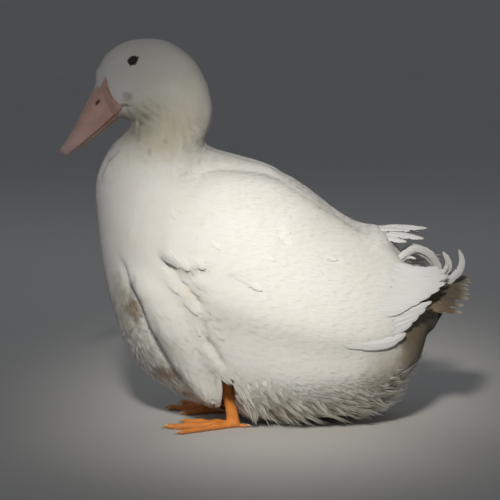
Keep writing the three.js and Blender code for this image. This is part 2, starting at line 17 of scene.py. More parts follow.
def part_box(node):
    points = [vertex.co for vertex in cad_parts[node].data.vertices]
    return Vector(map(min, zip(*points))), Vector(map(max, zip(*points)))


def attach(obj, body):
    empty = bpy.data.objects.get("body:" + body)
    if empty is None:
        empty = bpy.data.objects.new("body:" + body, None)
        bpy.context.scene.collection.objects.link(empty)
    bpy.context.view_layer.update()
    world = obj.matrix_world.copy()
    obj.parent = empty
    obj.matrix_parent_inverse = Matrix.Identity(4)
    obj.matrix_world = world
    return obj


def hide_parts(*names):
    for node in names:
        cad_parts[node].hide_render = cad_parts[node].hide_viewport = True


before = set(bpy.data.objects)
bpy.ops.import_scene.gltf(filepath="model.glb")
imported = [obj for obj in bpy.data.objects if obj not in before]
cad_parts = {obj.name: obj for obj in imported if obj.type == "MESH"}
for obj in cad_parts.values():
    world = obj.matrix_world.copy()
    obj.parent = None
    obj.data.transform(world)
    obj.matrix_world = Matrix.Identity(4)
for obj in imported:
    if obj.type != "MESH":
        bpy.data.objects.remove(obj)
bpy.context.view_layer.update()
MIDDLE_Y = 29.46  # the tables' frame lies this far behind the row frame


def rng(seed):
    return np.random.default_rng(seed)


def unit(v):
    return v / np.maximum(np.linalg.norm(v, axis=-1, keepdims=True), 1e-12)


def smooth(x, lo, hi):
    t = np.clip((x - lo) / (hi - lo), 0, 1)
    return t * t * (3 - 2 * t)


def place(p):
    q = np.array(p, float)
    q[..., 1] -= MIDDLE_Y
    return q / 1000.0


# ---------------------------------------------------------------- station tables
# back point y z, under point y z, half width, fullness from the back and from below, set out
BODY = np.array([
    [200, 138, 196, 94.5, 40, .5, .5, 0],
    [184, 163, 185.5, 58.5, 62, .5, .48, 0],
    [161, 188, 164.5, 24, 80, .5, .44, 0],
    [134, 204, 133.5, 10, 92, .52, .4, 0],
    [97.5, 226.5, 93, 3, 101, .52, .4, 0],
    [62, 253, 52, -1.5, 105, .5, .42, 0],
    [30, 270, 8, 4, 105, .48, .47, 0],
    [2, 278.5, -36.5, 17, 102, .48, .53, 0],
    [-18, 284.5, -75, 34.5, 95, .5, .58, 0],
    [-28.5, 288.5, -107, 60.5, 88, .52, .58, 0],
    [-34.5, 292.5, -128.5, 102.5, 82, .56, .54, 0],
    [-36.5, 297, -142, 158.5, 75, .58, .5, 0],
    [-35.5, 304, -148.5, 212, 64, .56, .46, 0],
    [-32.5, 311, -150, 255, 53, .5, .46, 0],
    [-29.5, 319.5, -136, 288.5, 43, .48, .48, 0],
    [-28.5, 329.5, -116, 308, 37.5, .48, .48, 0],
    [-30.5, 343, -113, 316.5, 34.5, .46, .5, 0],
    [-36, 361, -117, 319.5, 33, .44, .48, 0],
    [-49, 382.5, -122, 321.5, 32, .43, .42, 0],
    [-72.5, 399.5, -126.5, 322, 30.5, .44, .4, 0],
    [-97.5, 403.5, -130.5, 322.5, 28.5, .46, .4, 0],
    [-121, 399, -134, 324, 24.5, .46, .42, 0],
    [-138, 387.5, -136.5, 327.5, 19, .46, .46, 0],
    [-147, 373, -138.5, 333, 14, .5, .5, 0],
])
WING_HULL = np.array([
    [240, 150, 228, 116, 40, .5, .5, 0],
    [216, 176, 208, 94, 59, .45, .5, 0],
    [190, 183, 192, 60, 71, .45, .48, 1],
    [163, 189, 165, 26, 82, .5, .44, 4],
    *[[*r[:7], o] for r, o in zip(BODY[3:12], [7.5, 9, 9.5, 9, 8.5, 7, 5.5, 4, 3])],
])
BILL = np.array([
    [-130, 376, -111, 323.5, 12, .42, .4, 0],
    [-146.5, 360.5, -124.5, 320.5, 14.4, .46, .36, 0],
    [-154.5, 345.5, -133, 314.5, 14.6, .46, .34, 0],
    [-162, 331.5, -144.5, 305, 13.8, .44, .32, 0],
    [-169.5, 316.5, -155.5, 296.5, 14, .42, .32, 0],
    [-177.5, 303, -166.5, 289.5, 15.2, .4, .34, 0],
    [-183.5, 292.5, -176, 284.5, 13.2, .4, .4, 0],
])
GAPE, MOUTH_TIP = np.array([-121, 335.0]), np.array([-187, 279.5])


def table_at(table, t):
    """Catmull-Rom through the stations at station numbers t."""
    t = np.atleast_1d(np.asarray(t, float))
    n = len(table) - 1
    i = np.clip(np.floor(t).astype(int), 0, n - 1)
    f = (t - i)[:, None]
    p0, p1, p2, p3 = (table[np.clip(i + k, 0, n)] for k in (-1, 0, 1, 2))
    return .5 * (2 * p1 + (p2 - p0) * f + (2 * p0 - 5 * p1 + 4 * p2 - p3) * f ** 2 + (3 * p1 - p0 - 3 * p2 + p3) * f ** 3)


def fullness(s, a, b):
    m = a / (a + b)
    return np.maximum(s, 0) ** a * np.maximum(1 - s, 0) ** b / (m ** a * (1 - m) ** b)


def section(row, th, out=0.0, shift=0.0, shrink=1.0):
    """One ring: th runs once round from the back point."""
    dy, dz = row[2] - row[0], row[3] - row[1]
    ln = math.hypot(dy, dz)
    uy, uz = dy / ln, dz / ln
    q = (1 - np.cos(th)) / 2
    half, w = ln / 2 * shrink + out, row[4] * shrink + out
    r = -half + 2 * half * q
    x = w * fullness(q, row[5], row[6]) * np.sign(np.sin(th)) * (np.abs(np.sin(th)) > 1e-9)
    return np.stack([x, (row[0] + row[2]) / 2 + uy * r + uz * shift, (row[1] + row[3]) / 2 + uz * r - uy * shift], -1)


def stations(table, step, head_step=None, head_from=1e9):
    """Station numbers so spaced that rings lie about step apart."""
    fine = np.linspace(0, len(table) - 1, 4000)
    rows = table_at(table, fine)
    gap = np.maximum(np.hypot(np.diff(rows[:, 0]), np.diff(rows[:, 1])), np.hypot(np.diff(rows[:, 2]), np.diff(rows[:, 3])))
    want = np.where(fine[1:] > head_from, head_step or step, step)
    s = np.concatenate([[0], np.cumsum(gap / want)])
    n = int(math.ceil(s[-1]))
    return np.interp(np.linspace(0, s[-1], n + 1), s, fine)


class Surface:
    """A closed grid of rings. Points on it are told by ring number i and place round it j, both real numbers."""

    def __init__(self, points):
        self.p = points
        self.nu, self.nt = points.shape[:2]
        self.normals()

    def normals(self):
        p = self.p
        du = np.gradient(p, axis=0)
        dt = (np.roll(p, -1, 1) - np.roll(p, 1, 1)) / 2
        n = np.cross(dt, du)
        c = p.mean(1, keepdims=True)
        sign = np.sign(np.einsum("ijk,ijk->", n, p - c))
        self.n = unit(n * sign)
        self.du, self.dt = du, dt

    def look(self, grid, i, j):
        i = np.clip(i, 0, self.nu - 1.001)
        j = np.mod(j, self.nt)
        i0, j0 = np.floor(i).astype(int), np.floor(j).astype(int) % self.nt
        fi, fj = i - i0, j - np.floor(j)
        if grid.ndim == 3:
            fi, fj = fi[..., None], fj[..., None]
        j1 = (j0 + 1) % self.nt
        return (grid[i0, j0] * (1 - fi) * (1 - fj) + grid[i0 + 1, j0] * fi * (1 - fj)
                + grid[i0, j1] * (1 - fi) * fj + grid[i0 + 1, j1] * fi * fj)

    def point(self, i, j):
        return self.look(self.p, i, j)

    def normal(self, i, j):
        return unit(self.look(self.n, i, j))

    def step(self, i, j, v):
        """The change of (i, j) that moves along the tangent vector v."""
        a, b = self.look(self.du, i, j), self.look(self.dt, i, j)
        aa, ab, bb = (a * a).sum(-1), (a * b).sum(-1), (b * b).sum(-1)
        va, vb = (v * a).sum(-1), (v * b).sum(-1)
        det = np.maximum(aa * bb - ab * ab, 1e-3)
        return (va * bb - vb * ab) / det, (vb * aa - va * ab) / det


def blur(grid, si, sj):
    """Gaussian blur of a ring grid, closed round each ring."""
    def kernel(s):
        r = max(1, int(3 * s))
        k = np.exp(-.5 * (np.arange(-r, r + 1) / s) ** 2)
        return k / k.sum(), r
    if si > 0:
        k, r = kernel(si)
        pad = np.concatenate([np.repeat(grid[:1], r, 0), grid, np.repeat(grid[-1:], r, 0)])
        grid = sum(w * pad[q:q + len(grid)] for q, w in enumerate(k))
    if sj > 0:
        k, r = kernel(sj)
        grid = sum(w * np.roll(grid, q - r, 1) for q, w in enumerate(k))
    return grid


# ---------------------------------------------------------------- the coat's outer form
NT = 180
TH = 2 * np.pi * np.arange(NT) / NT
BULGE0, BULGE1 = 11, 6


def body_rings():
    rows = []
    first, last = BODY[0], BODY[-1]
    for f in (.96, .85, .7, .54, .38, .2):
        rows.append(section(first, TH, 0, -math.sin(f * math.pi / 2) * BULGE0, math.cos(f * math.pi / 2)))
    ts = stations(BODY, 2.7, 1.5, 13.0)
    for row in table_at(BODY, ts):
        rows.append(section(row, TH))
    for f in (.2, .4, .6, .8, .94):
        rows.append(section(last, TH, 0, math.sin(f * math.pi / 2) * BULGE1, math.cos(f * math.pi / 2)))
    t_all = np.concatenate([np.full(6, 0.0), ts, np.full(5, len(BODY) - 1.0)])
    return np.array(rows), t_all


base_points, ring_t = body_rings()
base = Surface(base_points)


def bvh_of(*nodes):
    verts, faces = [], []
    for n in nodes:
        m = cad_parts[n].data
        k = len(verts)
        verts += [(v.co.x * 1000, v.co.y * 1000 + MIDDLE_Y, v.co.z * 1000) for v in m.vertices]
        faces += [tuple(k + q for q in f.vertices) for f in m.polygons]
    return BVHTree.FromPolygons(verts, faces)


def stand_off(tree, reach, mask):
    """How far the pieces in tree stand out from the base form, along its normals."""
    h = np.zeros(base.p.shape[:2])
    for i, j in zip(*np.nonzero(mask)):
        p, n = base.p[i, j], base.n[i, j]
        hit = tree.ray_cast(Vector(p + n * reach), Vector(-n), reach)
        if hit[0] is not None:
            h[i, j] = reach - hit[3]
    return h


Y, Z, X = base.p[..., 1], base.p[..., 2], base.p[..., 0]
left = X > 0
h_wing = stand_off(bvh_of("wing_L"), 18, left & (Y > -90) & (Y < 185) & (Z > 85) & (Z < 285))
h_wing *= 1 - smooth(Y, 150, 185)
h_thigh = stand_off(bvh_of("thigh_L"), 40, left & (Y > -130) & (Y < -10) & (Z > 12) & (Z < 205))


def mirror(h):
    return np.maximum(h, np.roll(h[:, ::-1], 1, 1))


h_wing, h_thigh = mirror(h_wing), mirror(h_thigh)
h_wing = blur(h_wing, 3.2, 2.4)
h_thigh = blur(h_thigh, .9, .8)
rise = np.maximum(h_wing, h_thigh)
rise = np.maximum(rise, blur(rise, 1.0, 1.0))


def line_place(line, y, z):
    """Distance from a side-view line, positive on its left as it runs, and the share of its length at the nearest place."""
    line = np.asarray(line, float)
    seg = np.linalg.norm(np.diff(line, axis=0), axis=1)
    start = np.concatenate([[0], np.cumsum(seg)])
    best, side, along = np.full(y.shape, 1e9), np.ones(y.shape), np.zeros(y.shape)
    for a in range(len(seg)):
        d = (line[a + 1] - line[a]) / seg[a]
        ry, rz = y - line[a][0], z - line[a][1]
        t = np.clip(ry * d[0] + rz * d[1], 0, seg[a])
        dist = np.hypot(ry - t * d[0], rz - t * d[1])
        near = dist < best
        best = np.where(near, dist, best)
        side = np.where(near, np.sign(d[0] * rz - d[1] * ry), side)
        along = np.where(near, (start[a] + t) / start[-1], along)
    return best * side, along


# Steps where one field of feathers laps over the next: a side-view line, its height in mm, how far it runs out on the raised side
# (the left of the line as it runs), and a groove cut along the low side
LAPS = [
    ("scapulars", [(-72, 262), (-64.7, 266), (-44.5, 271.7), (-23.1, 275.3), (.3, 273.3), (25.8, 269.2), (48, 258)], 2.5, 26, 1.5),
    ("scapular end", [(40, 258), (48.4, 253.4), (63.9, 243.7), (79.5, 232.9), (96, 224)], 1.4, 16, .6),
    ("wing front", [(-34, 132), (-41, 141), (-52.4, 153.4), (-64.7, 166.8), (-80, 186)], -2.4, 30, 6.5),
    ("wing front fold", [(-30, 146), (-40, 153), (-50, 162), (-60, 174)], -1.4, 8, 3.6),
    ("wing low edge", [(-86, 190), (-76, 184), (-66, 180.5), (-56, 174), (-50, 171.5), (-44, 175), (-36, 175.5), (-26, 175)], 3.6, 20, 5.0),
    ("wing low edge rear", [(-14, 171), (-4, 168), (6, 165), (20, 158)], 1.3, 16, 1.5),
    ("flank", [(36, 210), (38.6, 207.8), (42.7, 202.8), (46.2, 196.8), (48, 192)], 1.3, 10, 1.2),
    ("flank rear", [(74, 182), (77.8, 183.6), (87.9, 184), (98, 180), (103, 177)], 1.3, 10, 1.3),
    ("leg crease", [(-38, 128), (-33, 119), (-31, 110), (-33, 102)], 1.4, 8, 1.6),
    ("panel", [(-127, 190), (-118, 176), (-112, 158), (-99, 140), (-94, 118), (-80.5, 92), (-69, 67), (-50.5, 44), (-36, 27), (-26, 18)], 2.6, 14, 4.8),
    ("leg gap", [(-17, 69), (-22, 80), (-28, 90), (-34, 98), (-38, 105)], 1.8, 9, 5.5),
    ("neck", [(-122, 291), (-128, 286), (-136, 278.9), (-141.4, 266.3), (-143, 258)], 2.0, 12, 2.0),
    ("rump", [(145, 186), (149, 186.4), (156.1, 186), (162, 184), (166, 182)], 1.3, 8, 1.5),
    ("shoulder", [(-112, 203), (-107.3, 216.1), (-102.2, 229.2), (-98.2, 240.2), (-92, 250)], 1.4, 14, .9),
]


def laps(y, z, x):
    h = np.zeros(y.shape)
    for _, line, high, reach, cut in LAPS:
        d, f = line_place(line, y, z)
        end = smooth(f, 0, .16) * (1 - smooth(f, .84, 1))
        up = smooth(d, -1.4, 1.4) * np.exp(-np.maximum(d, 0) / reach) * high
        if high < 0:
            up = 0 * up
        h += end * (up - cut * np.exp(-((d + 1.6) / 2.6) ** 2))
    return h * smooth(np.abs(x), 8, 16)


rise = rise + blur(laps(Y, Z, X), .35, .3)
# the drawn-in neck is ruffled into soft locks that run down and back
r_neck = rng(5)
ruffle = np.exp(-((Y + 76) / 44.0) ** 4 - ((Z - 305) / 36.0) ** 4)
waves = 0
for _ in range(9):
    along_, across_, way_ = 2 * np.pi / r_neck.uniform(18, 34), 2 * np.pi / r_neck.uniform(7, 13), r_neck.uniform(0, 2 * np.pi)
    waves = waves + np.sin(along_ * (.5 * Y - .87 * Z) + across_ * (.87 * Y + .5 * Z) * r_neck.choice([-1, 1]) + .25 * X + way_)
rise = rise + .20 * ruffle * waves
# the belly's plumes hang free, so the coat's own form is drawn in under them
fringe = smooth(Y, -2, 30) * (1 - smooth(Z - .13 * np.maximum(Y - 60, 0), 20, 64))
rise = rise - blur(6.0 * fringe, 1.5, 1.5)
# a cushion of loose plumes on the rump
hump = 9.0 * np.exp(-((Y - 144) / 15.0) ** 2) * (1 - smooth(np.abs(X), 24, 54)) * smooth(base.n[..., 2], .05, .5) * (Z > 150)
coat = Surface(base.p + base.n * (rise + hump)[..., None])
coat.n = unit(blur(coat.n, .8, .7))


# ---------------------------------------------------------------- lie of the feathers
# y, z and the way the feathers point, in degrees in the side view: 0 is backwards, -90 is down
LIE = np.array([
    [-146, 372, 80], [-135, 390, 50], [-118, 399, 22], [-95, 403, 0], [-70, 398, -25], [-50, 383, -50], [-38, 362, -75],
    [-32, 342, -88], [-128, 355, 8], [-110, 365, 0], [-90, 370, -20], [-125, 328, -10], [-105, 335, -25], [-85, 345, -45],
    [-110, 382, -5], [-70, 340, -70], [-60, 310, -85], [-100, 312, -80], [-120, 300, -115], [-145, 265, -105],
    [-150, 220, -90], [-142, 160, -80], [-128, 105, -65], [-107, 60, -50], [-75, 33, -30], [-40, 17, -10],
    [-100, 270, -97], [-60, 275, -72], [-30, 290, -45], [-110, 220, -87], [-70, 230, -62], [-105, 165, -75], [-75, 190, -60],
    [-20, 255, -30], [-30, 210, -35], [20, 265, -15], [60, 250, -25], [0, 200, -22], [50, 190, -18], [100, 220, -30],
    [140, 200, -20], [110, 170, -12], [150, 170, 0], [170, 160, 10], [190, 135, 10],
    [-85, 130, -58], [-60, 110, -58], [-45, 80, -60], [-30, 50, -62], [-50, 150, -52], [-95, 100, -60], [-75, 70, -50],
    [-10, 120, -40], [-10, 80, -62], [0, 40, -78], [10, 15, -80], [30, 110, -35], [30, 70, -50], [35, 35, -60], [45, 15, -50],
    [70, 100, -25], [75, 60, -35], [80, 25, -38], [110, 90, -15], [115, 50, -27], [120, 25, -34],
    [145, 70, -12], [150, 40, -22], [160, 30, -18], [165, 60, 12], [175, 95, 20], [195, 115, 20],
])


def lie(p, n, turn=None):
    """Unit tangent along which a feather at p lies."""
    d2 = (p[:, None, 1] - LIE[None, :, 0]) ** 2 + (p[:, None, 2] - LIE[None, :, 1]) ** 2
    w = 1 / (d2 + 60) ** 1.6
    a = np.radians(LIE[:, 2])
    c, s = (w * np.cos(a)).sum(1), (w * np.sin(a)).sum(1)
    d = np.stack([np.zeros(len(p)), c, s], -1)
    d = unit(d)
    d = d - (d * n).sum(1, keepdims=True) * n
    back = np.array([0, 1.0, 0]) - n[:, 1:2] * n
    d = unit(d + .12 * back)
    if turn is not None:
        side = np.cross(n, d)
        d = unit(d * np.cos(turn)[:, None] + side * np.sin(turn)[:, None])
    return d


# ---------------------------------------------------------------- meshes
def mesh_object(name, verts, faces, material, uv=None, normals=None, attrs=None, face_materials=None):
    """verts in millimetres, faces as arrays of equal width (a list of them is allowed)."""
    if not isinstance(faces, (list, tuple)):
        faces = [faces]
    v = place(verts).astype(np.float32)
    loops = np.concatenate([f.ravel() for f in faces]).astype(np.int32)
    sizes = np.concatenate([np.full(len(f), f.shape[1]) for f in faces])
    m = bpy.data.meshes.new(name)
    m.vertices.add(len(v))
    m.vertices.foreach_set("co", v.ravel())
    m.loops.add(len(loops))
    m.loops.foreach_set("vertex_index", loops)
    m.polygons.add(len(sizes))
    m.polygons.foreach_set("loop_start", np.concatenate([[0], np.cumsum(sizes)[:-1]]).astype(np.int32))
    m.polygons.foreach_set("use_smooth", np.ones(len(sizes), bool))
    m.update(calc_edges=True)
    if uv is not None:
        layer = m.uv_layers.new(name="OFBake")
        layer.data.foreach_set("uv", uv[loops].astype(np.float32).ravel())
    for key, value in (attrs or {}).items():
        a = m.attributes.new(key, "FLOAT", "POINT")
        a.data.foreach_set("value", np.asarray(value, np.float32))
    for mat in material if isinstance(material, (list, tuple)) else [material]:
        m.materials.append(mat)
    if face_materials is not None:
        m.polygons.foreach_set("material_index", face_materials.astype(np.int32))
    m.validate()
    if normals is not None:
        m.normals_split_custom_set_from_vertices(normals.astype(np.float32).tolist())
    o = bpy.data.objects.new(name, m)
    bpy.context.scene.collection.objects.link(o)
    return o


def grid_faces(nu, nt, offset=0, closed=True):
    i, j = np.meshgrid(np.arange(nu - 1), np.arange(nt if closed else nt - 1), indexing="ij")
    a, b = i * nt + j, i * nt + (j + 1) % nt
    return offset + np.stack([a, b, b + nt, a + nt], -1).reshape(-1, 4)


def ride(o, slot, *nodes):
    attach(o, "root")
    if nodes:
        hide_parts(*nodes)
    return o


# ---------------------------------------------------------------- materials
def material(name):
    m = bpy.data.materials.new(name)
    m.use_nodes = True
    m.node_tree.nodes.clear()
    return m, m.node_tree.nodes, m.node_tree.links


def add(nodes, kind, **values):
    n = nodes.new(kind)
    for k, v in values.items():
        setattr(n, k, v)
    return n


def mixer(nodes, links, fac, a, b, blend="MIX"):
    """A colour mix; fac, a and b are sockets or plain values."""
    n = add(nodes, "ShaderNodeMix", data_type="RGBA", blend_type=blend)
    for socket, value in ((n.inputs[0], fac), (n.inputs[6], a), (n.inputs[7], b)):
        if hasattr(value, "links"):
            links.new(value, socket)
        else:
            socket.default_value = value if not isinstance(value, tuple) else (*value, 1)[:4]
    return n.outputs[2]


def maths(nodes, links, op, a, b=0.0, clamp=False):
    n = add(nodes, "ShaderNodeMath", operation=op, use_clamp=clamp)
    for socket, value in ((n.inputs[0], a), (n.inputs[1], b)):
        if hasattr(value, "links"):
            links.new(value, socket)
        else:
            socket.default_value = value
    return n.outputs[0]


def remap(nodes, links, value, lo, hi, a=0.0, b=1.0):
    n = add(nodes, "ShaderNodeMapRange", interpolation_type="SMOOTHSTEP")
    links.new(value, n.inputs[0])
    for k, v in zip((1, 2, 3, 4), (lo, hi, a, b)):
        n.inputs[k].default_value = v
    return n.outputs[0]


def noise(nodes, links, where, scale, detail=3.0, rough=.55):
    n = add(nodes, "ShaderNodeTexNoise")
    links.new(where, n.inputs["Vector"])
    n.inputs["Scale"].default_value = scale
    n.inputs["Detail"].default_value = detail
    n.inputs["Roughness"].default_value = rough
    return n.outputs["Fac"]


# Marks of the plumage: soiling, and patches of painted shade where it lies in shade (head, neck, creases by the keel,
# keel, belly, under the tail): middle y z in the tables' frame, half sizes along y and z, colour, strength
STAINS_AND_PAINTED_SHADE = [
    ("cheek", -113.5, 345.0, 9.5, 8.5, (.36, .25, .22), .85),
    ("gape", -116.5, 336.6, 8.5, 2.8, (.17, .11, .09), .88),
    ("jaw", -96.5, 324.5, 10.5, 7, (.15, .095, .06), .96),
    ("jaw low", -101, 318, 4.5, 5, (.24, .17, .11), .75),
    ("neck speck", -76, 301, 3.4, 3.4, (.26, .27, .19), .8),
    ("neck speck low", -104, 303, 5, 4.4, (.46, .40, .28), .6),
    ("neck streak", -92, 291, 3, 7, (.42, .34, .27), .6),
    ("neck back", -43, 297, 9, 12, (.46, .37, .27), .65),
    # painted shade: the neck's cream patch also darkens the drawn-in neck as if in shade, over a real cream tint
    ("neck cream and shade", -78, 315, 58, 42, (.58, .535, .39), .74),
    ("nape cream", -50, 345, 24, 36, (.66, .61, .48), .40),
    ("head shade", -84, 372, 50, 42, (.57, .56, .49), .60),
    ("pocket", -60, 169, 13, 17, (.79, .71, .52), .55),
    ("pocket low", -47, 152, 15, 20, (.79, .71, .52), .60),
    ("pocket specks", -42, 148, 7, 6, (.34, .25, .15), .5),
    ("scapular specks", 81, 232, 5, 4, (.50, .37, .24), .7),
    ("crease shade", -109, 152, 7, 27, (.42, .425, .43), .62),
    ("crease shade low", -84, 104, 6, 24, (.40, .37, .33), .55),
    # keel: grey-brown soiling, partly painted shade where the keel lies back beside the thigh panel
    ("keel", -122, 132, 20, 46, (.42, .37, .30), .72),
    ("keel tan", -109, 130, 16, 25, (.28, .20, .115), .95),
    ("keel foot", -76, 58, 26, 15, (.30, .205, .145), .88),
    ("keel low", -60, 32, 26, 12, (.24, .17, .12), .8),
    # belly: brown soiling, partly painted shade for the dark gaps between the hanging plumes; it darkens the skin under
    # them too
    ("belly", 70, 12, 116, 32, (.32, .25, .165), .84),
    ("belly front", 2, 30, 20, 34, (.34, .27, .18), .60),
    # under tail, and near it: brown soiling, partly painted shadow of wing and tail over the vent
    ("under tail", 191, 98, 36, 58, (.20, .15, .095), .96),
    ("under tail near", 186, 104, 28, 48, (.21, .16, .10), .9),
    ("vent", 160, 60, 48, 44, (.42, .36, .25), .62),
]


# how ragged the rim of a mark or patch of painted shade is, where it is calmer than usual
CALM = {"cheek": .6, "gape": .6, "jaw": .6, "jaw low": .3, "neck speck": .3, "neck speck low": .3, "neck streak": .3, "under tail": .3, "under tail near": .3, "vent": .3, "belly": .6, "neck cream and shade": .3, "nape cream": .3, "head shade": .3, "keel": .6, "crease shade": .6, "crease shade low": .6, "keel tan": .6, "keel foot": .6}


def stains_and_shade_colour(nodes, links, where, colour, wobble, share=1.0):
    """Lays the soiling and the patches of painted shade over a colour. They lie on both sides alike."""
    sep = add(nodes, "ShaderNodeSeparateXYZ")
    links.new(where, sep.inputs[0])
    calm = {share_: maths(nodes, links, "MULTIPLY", wobble, share_) for share_ in (.3, .6, 1.0)}
    for label, cy, cz, ry, rz, rgb, strength in STAINS_AND_PAINTED_SHADE:
        ragged_ = calm[CALM.get(label, 1.0)]
        dy = maths(nodes, links, "MULTIPLY_ADD", sep.outputs[1], 1000 / ry)
        dy.node.inputs[2].default_value = -(cy - MIDDLE_Y) / ry
        dz = maths(nodes, links, "MULTIPLY_ADD", sep.outputs[2], 1000 / rz)
        dz.node.inputs[2].default_value = -cz / rz
        d = maths(nodes, links, "ADD", maths(nodes, links, "MULTIPLY", dy, dy), maths(nodes, links, "MULTIPLY", dz, dz))
        d = maths(nodes, links, "ADD", d, ragged_)
        colour = mixer(nodes, links, remap(nodes, links, d, 1.25, .15, 0, strength * share), colour, rgb)
    return colour


def plumage_material(name, tone=(.80, .785, .745), shade=(.68, .655, .60), stains_and_shade=True, ridge=0.0, rough=.78, dark=(.75, .0, .20), vary=.07):
    """White feathers: warm white, darker and creamier towards each tuft's root as painted shade, each tuft a little
    different, soiled where a farm duck is and with patches of painted shade laid on.
    """
    m, nodes, links = material(name)
    where = add(nodes, "ShaderNodeTexCoord").outputs["Object"]
    own = add(nodes, "ShaderNodeAttribute", attribute_name="own").outputs["Fac"]
    along = add(nodes, "ShaderNodeAttribute", attribute_name="along").outputs["Fac"]
    big = noise(nodes, links, where, 28, 3)
    fine = noise(nodes, links, where, 420, 2)
    colour = mixer(nodes, links, remap(nodes, links, big, .35, .7), tone, tuple(c * k for c, k in zip(tone, (.975, .965, .94))))
    # painted shade: each tuft darkens towards its root, where it lies under its neighbours
    colour = mixer(nodes, links, remap(nodes, links, along, dark[0], dark[1], 0, dark[2]), colour, shade)
    colour = mixer(nodes, links, remap(nodes, links, own, 0, 1, .0, vary), colour, shade)
    if stains_and_shade:
        wobble = maths(nodes, links, "MULTIPLY_ADD", noise(nodes, links, where, 75, 4, .62), 2.4)
        wobble.node.inputs[2].default_value = -1.2
        wobble = maths(nodes, links, "ADD", wobble, maths(nodes, links, "MULTIPLY_ADD", own, .5))
        colour = stains_and_shade_colour(nodes, links, where, colour, wobble, float(stains_and_shade))
    bsdf = add(nodes, "ShaderNodeBsdfPrincipled")
    links.new(colour, bsdf.inputs["Base Color"])
    bsdf.inputs["Roughness"].default_value = rough
    bsdf.inputs["Specular IOR Level"].default_value = .22
    bsdf.inputs["Sheen Weight"].default_value = .12
    bsdf.inputs["Sheen Roughness"].default_value = .5
    height = maths(nodes, links, "MULTIPLY", fine, .25)
    if ridge:
        # barbs run slantwise off the shaft
        shaft = add(nodes, "ShaderNodeAttribute", attribute_name="barb").outputs["Fac"]
        wave = maths(nodes, links, "SINE", maths(nodes, links, "MULTIPLY", shaft, ridge))
        height = maths(nodes, links, "ADD", height, maths(nodes, links, "MULTIPLY", wave, .14))
    bump = add(nodes, "ShaderNodeBump")
    bump.inputs["Strength"].default_value = .35
    bump.inputs["Distance"].default_value = .0004
    links.new(height, bump.inputs["Height"])
    links.new(bump.outputs[0], bsdf.inputs["Normal"])
    out = add(nodes, "ShaderNodeOutputMaterial")
    links.new(bsdf.outputs[0], out.inputs[0])
    return m


COAT = plumage_material("plumage")
HEAD_COAT = plumage_material("plumage_head", dark=(.80, .0, .34), vary=.16)
VANE = plumage_material("plumage_vane", tone=(.765, .765, .75), shade=(.60, .59, .55), ridge=1900.0, stains_and_shade=False)
# belly and keel plumes, and the belly's locks, darken strongly to brown towards the root: painted shade in the gaps
# between strands, over a real brownish base
PLUME = plumage_material("plumage_plume", tone=(.80, .785, .74), shade=(.34, .28, .19), dark=(.80, .15, .85), vary=.22)
LOCK = plumage_material("plumage_lock", tone=(.90, .87, .80), shade=(.26, .20, .13), dark=(.62, .12, .95), vary=.16, stains_and_shade=.12)


# ---------------------------------------------------------------- tufts
def spread_points(surface, count, radius, keep, seed):
    """Points over the surface, no two nearer than radius(p); keep(p, n) tells which places carry the coat."""
    r = rng(seed)
    area = np.linalg.norm(np.cross(surface.du, surface.dt), axis=-1).copy()
    area[:3] = area[-3:] = 0
    size = radius(surface.p.reshape(-1, 3), surface.n.reshape(-1, 3)).reshape(area.shape)
    weight = area / size ** 2 * keep(surface.p.reshape(-1, 3), surface.n.reshape(-1, 3)).reshape(area.shape)
    total = weight.sum()
    count = int(min(count, total * 3.2))
    cum = np.cumsum(weight.ravel()) / total
    pick = np.searchsorted(cum, r.random(count))
    i, j = np.divmod(pick, surface.nt)
    i = np.clip(i + r.random(count) - .5, 2, surface.nu - 3)
    j = j + r.random(count) - .5
    p = surface.point(i, j)
    rad = radius(p, surface.normal(i, j))
    tree = KDTree(count)
    for k, q in enumerate(p):
        tree.insert(q, k)
    tree.balance()
    alive = np.ones(count, bool)
    for k in range(count):
        if alive[k]:
            for _, other, _ in tree.find_range(p[k], rad[k]):
                if other > k:
                    alive[other] = False
    return i[alive], j[alive]


